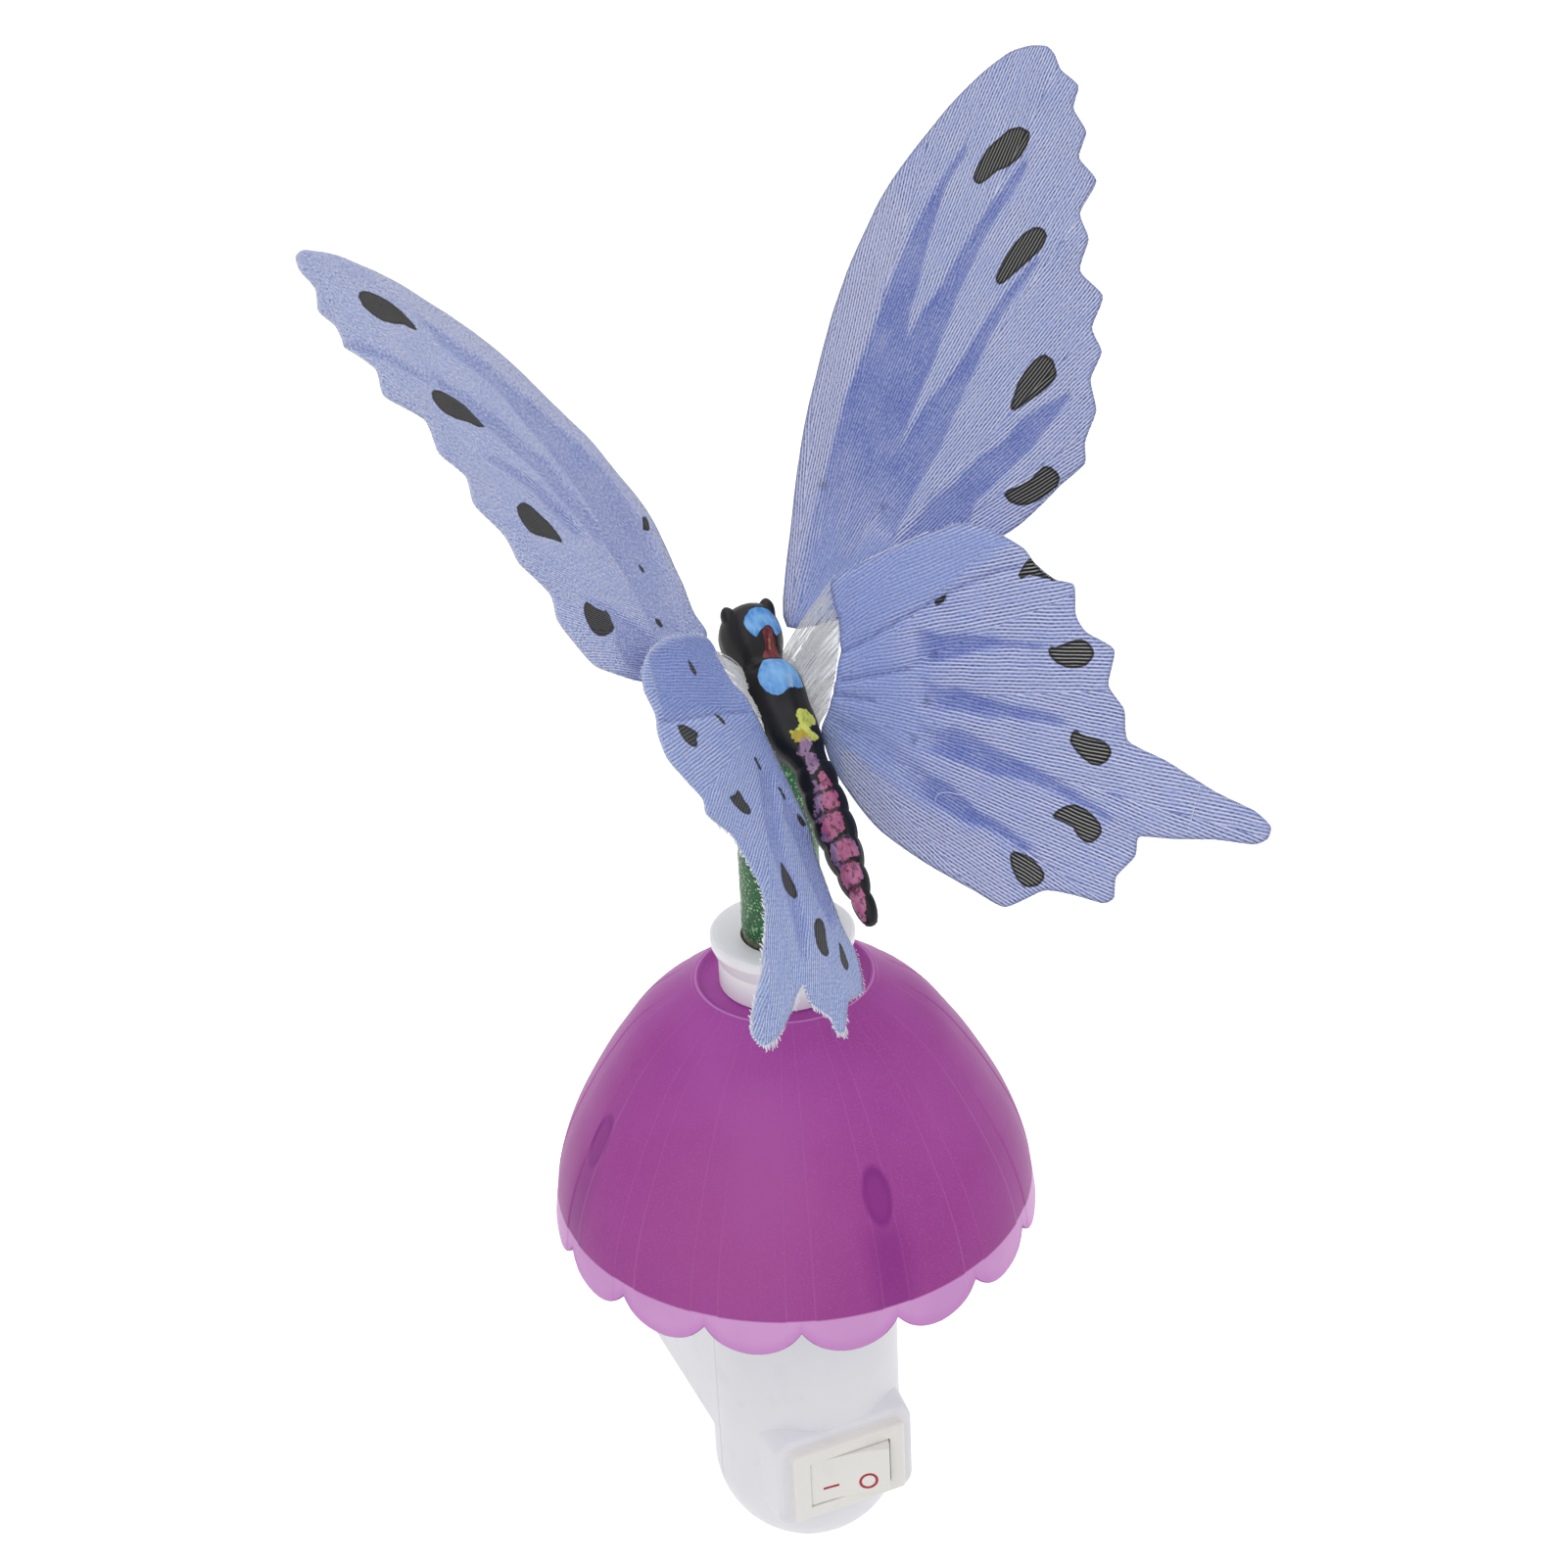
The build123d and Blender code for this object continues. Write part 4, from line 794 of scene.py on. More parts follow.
# %% Wing outlines
WINGS = {
    "right_forewing": dict(
        side=1, root=FOREWING_ROOT, turn=(52.0, 3.2, 0.0), bend=(-0.06, 0.03, -0.03), outline=[
            (1.07, 2.19), (7.5, 13.21), (11.75, 18.77), (17.51, 25.28), (22.61, 30.25), (26.52, 33.21),
            (33.08, 37.58), (39.86, 40.2), (44.95, 41.61), (49.67, 42.43), (53.55, 42.52), (55.85, 41.64),
            (57.46, 40.21), (57.79, 38.84), (57.64, 36.77), (58.39, 34.0), (56.8, 32.13), (56.79, 28.9),
            (54.79, 26.97), (55.23, 23.45), (52.12, 21.57), (51.65, 18.25), (49.26, 15.84), (50.03, 12.05),
            (47.5, 9.64), (47.19, 6.68), (44.81, 4.8), (43.79, 1.48), (41.12, -0.69), (39.95, -2.64),
            (36.6, -2.98), (29.49, -4.19), (14.0, -2.6)]),
    "left_forewing": dict(
        side=-1, root=FOREWING_ROOT, turn=(46.0, -3.7, -3.0), bend=(-0.045, 0.03, -0.03), outline=[
            (5.37, 2.44), (5.71, 5.4), (4.9, 9.46), (4.79, 14.23), (5.38, 19.19), (7.86, 23.91), (10.55, 27.78),
            (13.82, 30.57), (17.49, 32.97), (21.96, 36.43), (27.72, 39.1), (32.31, 40.35), (39.51, 41.88),
            (44.98, 42.56), (50.88, 41.89), (52.77, 40.68), (53.31, 38.75), (52.03, 36.91), (53.28, 34.02),
            (51.41, 32.67), (51.21, 30.25), (48.22, 27.94), (48.82, 24.66), (43.83, 22.69), (43.95, 18.7),
            (40.91, 16.43), (41.76, 13.05), (38.99, 10.02), (38.25, 6.57), (35.03, 3.56), (35.43, 0.66),
            (34.07, -1.91), (32.02, -4.52), (25.19, -5.54), (14.0, -3.6)]),
    "right_hindwing": dict(
        side=1, root=HINDWING_ROOT, turn=(62.0, 4.0, 8.0), bend=(-0.05, 0.0, -0.04), outline=[
            (10.23, 9.37), (17.01, 7.72), (23.63, 5.83), (27.4, 4.21), (30.01, 1.79), (32.14, -2.38),
            (32.29, -4.34), (33.27, -7.14), (34.79, -8.97), (33.2, -11.49), (33.15, -13.65), (34.68, -16.9),
            (32.06, -19.42), (32.05, -22.42), (30.39, -25.13), (32.82, -29.27), (35.44, -34.78), (37.83, -38.47),
            (38.38, -40.68), (37.34, -41.52), (35.75, -41.18), (32.55, -38.53), (28.94, -36.08), (25.6, -33.68),
            (23.88, -34.96), (20.63, -35.41), (19.1, -36.96), (17.64, -36.76), (15.04, -34.05), (12.46, -31.96),
            (7.19, -30.76), (4.93, -27.27), (1.95, -22.3), (-1.3, -15.9), (-2.2, -10.9), (-2.6, -6.4),
            (-1.4, -2.6), (1.4, -1.3), (4.3, 0.7), (6.6, 2.9), (8.3, 5.5)]),
    "left_hindwing": dict(
        side=-1, root=HINDWING_ROOT, turn=(50.0, -5.9, 0.0), bend=(-0.03, -0.01, -0.03), outline=[
            (6.61, 9.08), (11.28, 8.55), (17.02, 7.43), (22.95, 5.29), (27.91, 2.0), (29.27, -0.14),
            (28.87, -2.74), (30.15, -5.04), (30.34, -8.09), (26.57, -11.92), (27.06, -13.79), (22.39, -15.77),
            (21.04, -19.81), (20.96, -22.4), (22.59, -25.03), (26.9, -29.13), (34.01, -34.81), (36.01, -37.19),
            (34.39, -38.41), (30.97, -37.56), (25.34, -34.83), (19.71, -32.07), (19.3, -34.08), (15.83, -35.54),
            (15.51, -37.13), (13.2, -36.92), (9.63, -33.78), (3.49, -32.37), (1.15, -28.06), (2.4, -24.4),
            (1.6, -18.8), (1.0, -14.3), (0.9, -9.0), (1.1, -4.2), (2.0, -1.1), (3.4, 2.0), (4.8, 4.6),
            (4.9, 7.6)]),
}
for wing in WINGS.values():
    wing["place"] = wing_frame(wing["side"], wing["root"], *wing["turn"])
print("wings:", {name: len(wing["outline"]) for name, wing in WINGS.items()})

# %% [markdown]
# ### What is printed on the cloth
# Each wing carries dark bands that fan out from the root, a mid-blue wash near the root, dark
# spots near the margin and a few smudges of ink. Paler strips run along the leading edges, and
# some creases are pressed in. Every mark is a small polygon in the wing's own plane, in
# millimetres, because a polygon can be as crooked as the real mark. A crease is an open line and
# a smudge is a place with a radius. The mesh keeps the distance to the nearest mark at each of
# its points, and the material turns that distance into an edge, so a mark stays sharp on a
# fairly coarse mesh. Strips reach past the outline, so that the cloth is pale up to its cut edge.

# %% Marks of the four wings
PRINTS = {
    "right_forewing": dict(
        band=[
            [(3, 2.9), (7, 8.7), (19, 20.2), (34.4, 31.8), (39.4, 34.5), (44.6, 36.7), (44.9, 35.9), (40.6, 33.8),
             (36.5, 30.1), (32.7, 25.9), (30.8, 24.3), (28.8, 21.8), (26, 16.5), (22.5, 12.4), (16.9, 7.1),
             (11.3, 3.8)],
            [(28.7, 21.6), (31.9, 23.3), (34, 23.9), (40.4, 27.1), (49.8, 30.8), (49.7, 29.8), (47, 28.1),
             (44.6, 27.2), (42.2, 25.9), (36.2, 22.1), (30.8, 17.6), (23.5, 12.4), (18.9, 8.3), (18.9, 12.3)],
            [(23.4, 11.9), (27.5, 14), (29.8, 14.4), (33.1, 15.5), (38.3, 18), (44.7, 20), (46.4, 20.3),
             (45.7, 19.5), (39.1, 16.7), (37.1, 15.6), (28.1, 9.6), (26.5, 8.3), (22, 6.2), (17.5, 3.2),
             (15.9, 5.2), (19.4, 10.6)],
            [(17.7, 2.5), (22.9, 4.1), (26.5, 4.3), (30.2, 5), (33.5, 4.8), (35.8, 5.6), (38.4, 5.6), (42.2, 5.1),
             (42.2, 4.5), (35.4, 2.1), (27.4, 0.8), (24, -2.8), (18, -2.6), (12.3, -0.1)]],
        wash=[
            [(2.7, 2.4), (7, 8.7), (11.6, 10.8), (12.2, 5.1), (15.9, 5.2), (17.4, 2.7), (12.9, -1.7), (6, -1.1)]],
        strip=[
            [(-0.5, 3.0), (6.0, 14.2), (16.3, 26.6), (25.6, 34.7), (35.5, 40.9), (35.4, 33.6), (34.4, 31.8),
             (19.0, 20.2), (7.0, 8.7), (3.0, 2.9)]],
        spot=[
            [(51.6, 32.8), (50.7, 31.8), (49.4, 31.1), (47.7, 31), (46.4, 31.4), (44.9, 31.2), (43.9, 31.4),
             (43.6, 32.3), (44.3, 33.1), (46.5, 34.4), (49.7, 34.8), (50.9, 34.2)],
            [(48, 21.5), (47, 20.6), (45.9, 20.4), (41.4, 19.9), (40.6, 20.2), (40.8, 21), (41.9, 21.8),
             (43.1, 22.5), (44.6, 23.1), (45.9, 23.4), (47.3, 23.2), (48, 22.4)],
            [(42, 7.7), (41.6, 7.2), (40.4, 6.9), (39.3, 6.8), (36.4, 6.8), (35.7, 6.9), (35.7, 7.5), (37.8, 9.4),
             (39.1, 10), (40.4, 10.4), (41.7, 10.4), (42.3, 9.1)],
            [(36.7, -2.6), (36.1, -3), (33.7, -3.1), (32.6, -2.9), (31.5, -2.3), (30.8, -1.3), (30.7, -0.3),
             (31.4, -0.1), (32.5, -0.5), (33.8, -0.6), (36.1, -0.1), (36.8, -1.1), (37, -2.1)]],
        smudge=[(12.3, 13.6, 1.08), (17.7, 7, 0.82), (21, 1.3, 0.46)]),
    "left_forewing": dict(
        band=[
            [(35.6, 37.5), (25.4, 33.3), (17.5, 28.7), (14.3, 26.4), (9.9, 21.6), (7.2, 14.7), (7.2, 10.9),
             (8.3, 6.9), (10.6, 1.6), (17.3, 0.7), (17.7, 7.9), (19, 11.4), (18, 15.2), (19.2, 18.8), (20.3, 21.1),
             (21.5, 23.3), (23.5, 25.7), (25.1, 28.6), (27.2, 30.7), (33.6, 34.2)],
            [(38.2, 29.7), (32.7, 27.8), (30.1, 26.5), (22.8, 21.6), (21.2, 18.6), (19.3, 16), (17.7, 13.1),
             (20.7, 11.1), (21.8, 13.9), (25.8, 18.8), (27.9, 20.8), (30.3, 22.6), (32.7, 24), (34.7, 26.2),
             (38, 27.6)],
            [(33.4, 20.5), (29.9, 19.2), (26.6, 17.6), (22.1, 12.3), (24.4, 11.7), (27.2, 14.3), (29.1, 16.6),
             (35.7, 19.6)],
            [(30.1, 4.2), (24.4, 3.6), (19, 1.1), (17.4, 0.1), (23.3, -4.8), (26.4, -3.9), (27, -1.7), (25.4, 0.8),
             (25.8, 2.5)],
            [(52.3, 30.8), (47.1, 30.8), (43, 29.9), (39, 28.6), (40.1, 27.8), (48.6, 29.6), (52.9, 29.9)]],
        strip=[
            [(3.7, 2.4), (3.1, 14.4), (9.4, 29.1), (21.2, 38.1), (39.1, 43.6), (45.0, 44.3), (40.0, 39.6),
             (35.6, 37.9), (25.4, 33.7), (14.3, 26.8), (9.5, 21.6), (6.8, 14.7), (7.0, 8.0)]],
        spot=[
            [(45.3, 37.4), (44.8, 38.1), (43.7, 38.6), (42.5, 38.8), (40.9, 38.6), (39.6, 38.2), (38.4, 37.5),
             (37.5, 36.6), (36.9, 35.8), (36.8, 35.2), (38, 35.2), (39.1, 35.5), (41, 35.1), (43, 35),
             (44.5, 35.6), (45.3, 36.2)],
            [(40.3, 26.7), (39.5, 27.2), (38.3, 27.4), (36.9, 27.2), (35.6, 26.8), (34.5, 26.2), (33.6, 25.3),
             (32.8, 24.7), (32.7, 24), (34.1, 23.7), (35.6, 24), (37.7, 24), (39.3, 24.3), (40.2, 24.9),
             (40.7, 25.7)],
            [(34.1, 13.9), (33.1, 14.6), (32.1, 14.9), (31, 14.6), (28.9, 13), (28.2, 12), (27.9, 11.1),
             (28, 10.5), (29.1, 10.7), (32.7, 10.8), (33.8, 11), (34.3, 12), (34.4, 12.9)],
            [(30, 2.6), (29, 3.4), (28.5, 3.4), (27.8, 2.9), (26.7, 2.7), (25.8, 2.7), (24.9, 3.1), (24.8, 2.4),
             (25.5, 0.7), (26.6, 0), (28.3, -0.7), (29.7, -0.8), (30.4, -0.4), (30.7, 0.5), (30.6, 1.5)],
            [(7.3, 17.4), (6.4, 17.7), (6.2, 17.2), (6.6, 16), (7.3, 15.6), (8, 15.8)],
            [(13.1, 10.5), (12.5, 10.2), (12.5, 9.5), (13.1, 9.7)],
            [(15.4, 3.2), (14.6, 3.2), (14.4, 2.4), (15.4, 2.4)]]),
    "right_hindwing": dict(
        band=[
            [(16.2, -1.1), (18.4, -3.5), (21, -5.2), (28.7, -12.1), (27.4, -11.8), (23.6, -8.9), (21.4, -7.8),
             (17.7, -6.5), (13.7, -4.4)],
            [(13.6, -5.6), (14.9, -8), (16.6, -8.9), (21, -14.3), (24.5, -17.5), (25.6, -19), (26.1, -20.3),
             (24.5, -19.4), (20.1, -15.4), (18.1, -14), (14.5, -10.6), (12.8, -9.6), (11.5, -8.2)],
            [(10.1, -8.9), (11.6, -11.2), (13.9, -12.3), (15.5, -14.4), (16.4, -16.2), (20.5, -22.6),
             (22.9, -27.2), (24.4, -30.9), (23.3, -30.3), (22.2, -28), (20.2, -24.9), (17.6, -21.5), (14.4, -18.7),
             (8.7, -11.8)],
            [(4.9, -6.1), (8.1, -14.5), (9.6, -16.7), (10.9, -21.1), (12, -22.6), (12.9, -24.4), (14.5, -28.3),
             (12.9, -27.5), (12.1, -25.5), (11.1, -23.9), (8.2, -20.5), (5.9, -16.2), (0.9, -4.7), (0.7, -2.6)]],
        wash=[
            [(10.2, 9.3), (13.3, 8.9), (17.5, 7.9), (22.7, 6.3), (27.2, 4), (31.1, 1), (32.1, -0.6), (30.7, -1.5),
             (28.2, -0.9), (22.9, -0.8), (5.8, 2.6), (7, 5.3)]],
        strip=[
            [(6.9, -32.3), (3.6, -28.1), (0.6, -23.1), (-2.7, -16.4), (-3.7, -11.0), (-0.6, -5.6), (0.9, -6.4),
             (5.2, -16.8), (7.8, -21.4), (10.4, -25.0), (9.2, -29.6)]],
        crease=[
            [(5.8, 2.6), (9.4, 1.7), (15.2, 0.7), (23.5, -1), (28.4, -2.5), (30.6, -3.7)],
            [(4.3, 0.1), (13, -4.2)],
            [(2.9, -0.6), (6.9, -4.2)]],
        spot=[
            [(30, -4.4), (30.5, -4), (31.9, -3.7), (32.5, -3.7), (32.5, -5.5), (32.8, -6.2), (33.9, -7.5),
             (33, -7.3), (31.9, -5.8), (31, -5), (30.1, -4.9)],
            [(28.7, -12.1), (29.3, -12.8), (31.9, -13.6), (32.6, -14.2), (32.9, -15.1), (32.7, -15.9),
             (32.1, -16.3), (31.2, -16.4), (30.1, -16), (29.2, -15.3), (28.5, -14.3), (28.2, -13.2)],
            [(25.1, -21.2), (25.7, -20.8), (26.3, -20.9), (26.4, -21.6), (28, -23.4), (28.4, -24.2), (28.2, -25.1),
             (27.2, -25.5), (26.2, -25.4), (25.4, -24.7), (25, -23.6), (24.8, -22.5), (24.8, -21.5)],
            [(18.2, -26.3), (19.2, -26.2), (20.3, -26.4), (21.3, -26.9), (22, -27.9), (22.4, -28.9), (22.6, -30.1),
             (22.3, -30.9), (21.4, -31.2), (20.3, -31.1), (19.7, -30.5), (19.5, -29.5), (19.6, -28.7),
             (19.1, -27.8), (18.4, -26.9)],
            [(11.8, -26.5), (12.9, -27.7), (13.5, -28.6), (13.8, -30.5), (13.2, -31.1), (12.2, -31.2), (11, -30.7),
             (10.5, -30), (10.4, -29), (10.7, -27.8), (11.2, -26.9)],
            [(19.8, -0.4), (21.1, -0.6), (21.6, -0.8), (21.1, -1), (20.3, -1), (19.9, -0.8)]],
        smudge=[(16.3, -4.8, 0.92), (12.5, -8.2, 1.04), (12, -10.5, 0.23), (8.7, -10.5, 0.94), (8.1, -11.1, 0.35),
                (20.4, 1.1, 0.34)]),
    "left_hindwing": dict(
        band=[
            [(6.8, -5.2), (4.1, -7.3), (7.5, -12.2), (9.6, -15.7), (10.8, -20.3), (12.7, -25.9), (15.6, -29.2),
             (17.6, -29.3), (15.6, -24.9), (13.7, -16), (11.1, -11.3)],
            [(3.9, -8.4), (2.6, -11.8), (0.9, -15.2), (1.4, -19.8), (2.6, -23.8), (5.8, -25.6), (6.3, -22.9),
             (6.3, -20.1), (5.9, -16.1), (6.7, -12.7)]],
        wash=[
            [(24.2, 4.6), (19.9, 6.2), (12.4, 8.2), (6.7, 8.9), (3.2, 7.3), (3.2, 4.6), (4, 1.5), (4, 0.2),
             (13.5, -1), (27.1, -3.4), (26.7, -0.4)]],
        crease=[
            [(28.4, -3.5), (21.8, -2.5), (13.5, -1), (4, 0.2)]],
        spot=[
            [(24.8, -3.6), (23.2, -3.3), (20.8, -3.9), (20.2, -4.3), (21.6, -4.8), (21.7, -5.5), (22.5, -5.9),
             (23.6, -5.9), (24.6, -5.4), (25, -4.6)],
            [(19.3, -11.2), (17.5, -10.8), (16.3, -10.1), (15.7, -10.5), (15.4, -11.4), (14.8, -11.8),
             (14.8, -12.6), (15.9, -13), (17.2, -12.9), (18.4, -12.3), (19.2, -11.6)],
            [(12, -17.8), (11.5, -18.5), (11.1, -19.5), (11.1, -20.9), (11.6, -22), (12.6, -22.3), (13.7, -21.8),
             (14.3, -20.8), (13.4, -19.5)],
            [(10.8, -25.3), (9.5, -24.5), (8.3, -24.3), (7.6, -24.7), (8, -25.7), (8.9, -26.9), (9.5, -28.3),
             (10.5, -28.8), (11.6, -28.6), (12.1, -27.7), (11.7, -26.5)],
            [(5.1, -26.6), (4.7, -27.4), (4.5, -29.4), (5.9, -30.2), (6.7, -29.9), (6.9, -29)],
            [(14.3, 5.2), (13.7, 4.8), (13.4, 3.8), (14.2, 3.5), (14.7, 4)],
            [(13.2, -1), (12.4, -1.2), (11.9, -2), (12.6, -2.2), (13.2, -1.8)],
            [(8.1, -5.7), (7.2, -5.8), (6.5, -6.8), (7.1, -6.9), (7.9, -6.4)],
            [(5.1, -8.9), (4.4, -9.3), (3.8, -10.1), (4.4, -10.3), (4.9, -9.8)],
            [(2.7, -11.9), (1.7, -13.1), (2.2, -13.4), (2.8, -12.9)]]),
}
# the folded front of the left hindwing is as dark as a band
PRINTS["left_hindwing"]["band"] += PRINTS["left_hindwing"]["wash"]
print("marks:", {name: sum(len(marks) for marks in prints.values()) for name, prints in PRINTS.items()})

# %% [markdown]
# ### From outline to cloth
# The outline is rounded a little, divided finely and filled with a triangular grid, and a Delaunay
# triangulation joins the points without crossing the edge. Each point is lifted by the bend of the
# wing and pressed down a little in the bands and creases, then carried into place. A Solidify
# modifier gives the cloth its real thickness.

# %% Lines and distances in a plane
EDGE_STEP, GRID_STEP = 0.4, 0.55
CORNER_TENSION = 0.32
FAR = 9.0


def rounded(outline, steps=6):
    """The closed outline with soft corners."""
    line = []
    ring = [np.array(p, float) for p in outline]
    for i, start in enumerate(ring):
        before, end, after = ring[i - 1], ring[(i + 1) % len(ring)], ring[(i + 2) % len(ring)]
        leave, arrive = CORNER_TENSION * (end - before), CORNER_TENSION * (after - start)
        for step in range(steps):
            t = step / steps
            line.append(tuple((2 * t ** 3 - 3 * t ** 2 + 1) * start + (t ** 3 - 2 * t ** 2 + t) * leave
                              + (3 * t ** 2 - 2 * t ** 3) * end + (t ** 3 - t ** 2) * arrive))
    return line


def divided(outline, step):
    """The closed outline with points about a step apart."""
    line = []
    for start, end in zip(outline, outline[1:] + outline[:1]):
        start, end = np.array(start), np.array(end)
        count = max(1, int(round(np.linalg.norm(end - start) / step)))
        line += [tuple(start + (end - start) * i / count) for i in range(count)]
    return line


def polygon_area(outline):
    """Area inside a closed outline."""
    x, y = np.array(outline).T
    return 0.5 * abs(float(np.dot(x, np.roll(y, -1)) - np.dot(y, np.roll(x, -1))))


def distance_to_edge(points, outline, closed=True):
    """Distance from each point to the nearest side of the outline, and whether it lies inside."""
    starts = np.array(outline, float)
    ends = np.roll(starts, -1, axis=0)
    if not closed:
        starts, ends = starts[:-1], ends[:-1]
    nearest = np.full(len(points), np.inf)
    inside = np.zeros(len(points), bool)
    for a, b in zip(starts, ends):
        along = b - a
        t = np.clip(((points - a) @ along) / (along @ along), 0, 1)
        nearest = np.minimum(nearest, np.linalg.norm(points - a - t[:, None] * along, axis=1))
        crosses = (a[1] > points[:, 1]) != (b[1] > points[:, 1])
        with np.errstate(divide="ignore", invalid="ignore"):
            x_cross = a[0] + (points[:, 1] - a[1]) * along[0] / along[1]
        inside ^= crosses & (points[:, 0] < x_cross)
    return nearest, inside


def mark_distance(points, marks, closed=True):
    """Distance to the nearest of several marks, below zero inside a closed one."""
    nearest = np.full(len(points), FAR)
    for mark in marks:
        reach, inside = distance_to_edge(points, mark, closed)
        nearest = np.minimum(nearest, np.where(inside & closed, -reach, reach))
    return nearest


def eased(value):
    """0 below 0, 1 above 1, and a soft change between them."""
    t = np.clip(value, 0, 1)
    return t * t * (3 - 2 * t)


def filled(outline):
    """Points and triangles that fill an outline."""
    edge = divided(outline, EDGE_STEP)
    low, high = np.min(edge, axis=0), np.max(edge, axis=0)
    row_step = GRID_STEP * math.sqrt(3) / 2
    grid = np.array([(low[0] + (column + 0.5 * (row % 2)) * GRID_STEP, low[1] + row * row_step)
                     for row in range(int((high[1] - low[1]) / row_step) + 2)
                     for column in range(int((high[0] - low[0]) / GRID_STEP) + 2)])
    reach, inside = distance_to_edge(grid, outline)
    grid = grid[inside & (reach > 0.55 * GRID_STEP)]
    flat = [Vector(p) for p in edge] + [Vector(p) for p in grid]
    sides = [(i, (i + 1) % len(edge)) for i in range(len(edge))]
    verts, _, faces, *_ = delaunay_2d_cdt(flat, sides, [], 1, 1e-6)
    return np.array([tuple(v) for v in verts]), faces


print("area inside each outline:", {name: round(polygon_area(wing["outline"])) for name, wing in WINGS.items()})

# %% Wing meshes
CLOTH_THICKNESS = 0.18
BAND_DEPTH, BAND_START, BAND_SLOPE = 0.26, 0.35, 1.1
CREASE_DEPTH, CREASE_WIDTH = 0.26, 0.8
WAVE, WAVE_LENGTH, RIPPLE, RIPPLE_LENGTH = 0.16, 8, 0.05, 2.6
MARGIN_WIDTH = 7.0
# the smallest spots are about as small as the mesh's triangles, so they are drawn a little larger
SMALL_SPOT_AREA, SMALL_SPOT_GROWTH = 1.7, 0.14


def pressed(flat, edge, band, crease):
    """Relief of the cloth: down in bands and creases, and slightly wavy, most near the margin."""
    waves = np.array([noise.noise(Vector((u / WAVE_LENGTH, v / WAVE_LENGTH, 3.0))) for u, v in flat])
    ripples = np.array([noise.noise(Vector((u / RIPPLE_LENGTH, v / RIPPLE_LENGTH, 8.0))) for u, v in flat])
    margin = eased((MARGIN_WIDTH - edge) / MARGIN_WIDTH)
    return (-BAND_DEPTH * eased((BAND_START - band) / BAND_SLOPE)
            - CREASE_DEPTH * eased((CREASE_WIDTH - crease) / CREASE_WIDTH)
            + WAVE * waves * (1 + 2 * margin) + RIPPLE * ripples)


wing_pieces = {}
for name, wing in WINGS.items():
    prints = PRINTS[name]
    wing["cut"] = rounded(wing["outline"])
    flat, faces = filled(wing["cut"])
    stored = {key: mark_distance(flat, prints.get(key, []), closed=key != "crease")
              for key in ("band", "wash", "strip", "crease", "spot")}
    stored["edge"] = distance_to_edge(flat, wing["cut"])[0]
    small_spots = [mark for mark in prints["spot"] if polygon_area(mark) < SMALL_SPOT_AREA]
    stored["spot"] = np.minimum(stored["spot"], mark_distance(flat, small_spots) - SMALL_SPOT_GROWTH)
    stored["smudge"] = np.zeros(len(flat))
    for u, v, size in prints.get("smudge", []):
        depth = 1 - np.hypot(flat[:, 0] - u, flat[:, 1] - v) / size
        stored["smudge"] = np.maximum(stored["smudge"], depth)
    relief = pressed(flat, stored["edge"], stored["band"], stored["crease"])
    points = [on_wing(wing, u, v, rise) for (u, v), rise in zip(flat, relief)]
    piece = mesh_piece(name + "_cloth", points, [tuple(face) for face in faces])
    store(piece, "drawing", [(u, v, 0.0) for u, v in flat])
    for key, values in stored.items():
        store(piece, key, values)
    thick = piece.modifiers.new("thickness", "SOLIDIFY")
    thick.thickness = CLOTH_THICKNESS * MM
    thick.offset = 0.0
    wing_pieces[name] = piece
    print(name, len(flat), "points, relief", relief.min().round(2), "to", relief.max().round(2), "mm")

# %% [markdown]
# ### The woven cloth
# The cloth is a plain weave of pale and blue threads, three or four to the millimetre. It was
# stiffened in narrow panels that spread from the root like a fan, so the direction of the threads
# changes from panel to panel. A node group makes the weave: it finds the panel of a point from its
# angle about the root, turns the drawing by that panel's direction, and lays one set of fine light
# lines along it with small dark gaps between the threads. A second group uses the first, lays the
# printed marks over the threads, and is shared by the materials of the four wings.

# %% Shared group: woven threads
WEAVE_INPUTS = ["Panel", "Turn", "Spread", "Pitch"]
THREAD_OUTPUTS = ["Line", "Gap", "Twill", "Thread", "Streak", "Cloud", "Fuzz", "Height"]
THREAD_TURN = 2 * math.pi
weave_group, sheet, given = new_group(
    "woven_threads", {"Drawing": "vector", **dict.fromkeys(WEAVE_INPUTS, "value")},
    dict.fromkeys(THREAD_OUTPUTS, "value"))
drawing, panel, pitch = given["Drawing"], given["Panel"], given["Pitch"]
x, y, _ = sheet.parts(drawing)
panel_angle = (sheet.math("FLOOR", sheet.math("ARCTAN2", y, x) / panel) + 0.5) * panel
direction = panel_angle * given["Spread"] + given["Turn"]
turned = sheet.get(0, "VectorRotate", {"Vector": drawing, "Angle": direction * -1.0}, rotation_type="Z_AXIS")
along, across, _ = sheet.parts(turned)
wobble = sheet.noise(drawing, 0.25, 1.0) * 0.3
across_count = (across + wobble) / pitch
along_count = (along + wobble) / (pitch * 2.2)
thread = sheet.math("FLOOR", across_count)
line_wave = sheet.math("SINE", across_count * THREAD_TURN)
# every second thread is shifted by half a step, as in a plain weave
dash = sheet.math("SINE", (along_count + thread * 0.5) * THREAD_TURN).step(-0.6, 0.6)
line = line_wave.step(0.0, 0.85) * (dash * 0.15 + 0.85)
gap = line_wave.step(0.1, -0.7) * (dash * -0.45 + 1.0)
twill = sheet.math("SINE", (across_count + along_count) * THREAD_TURN)
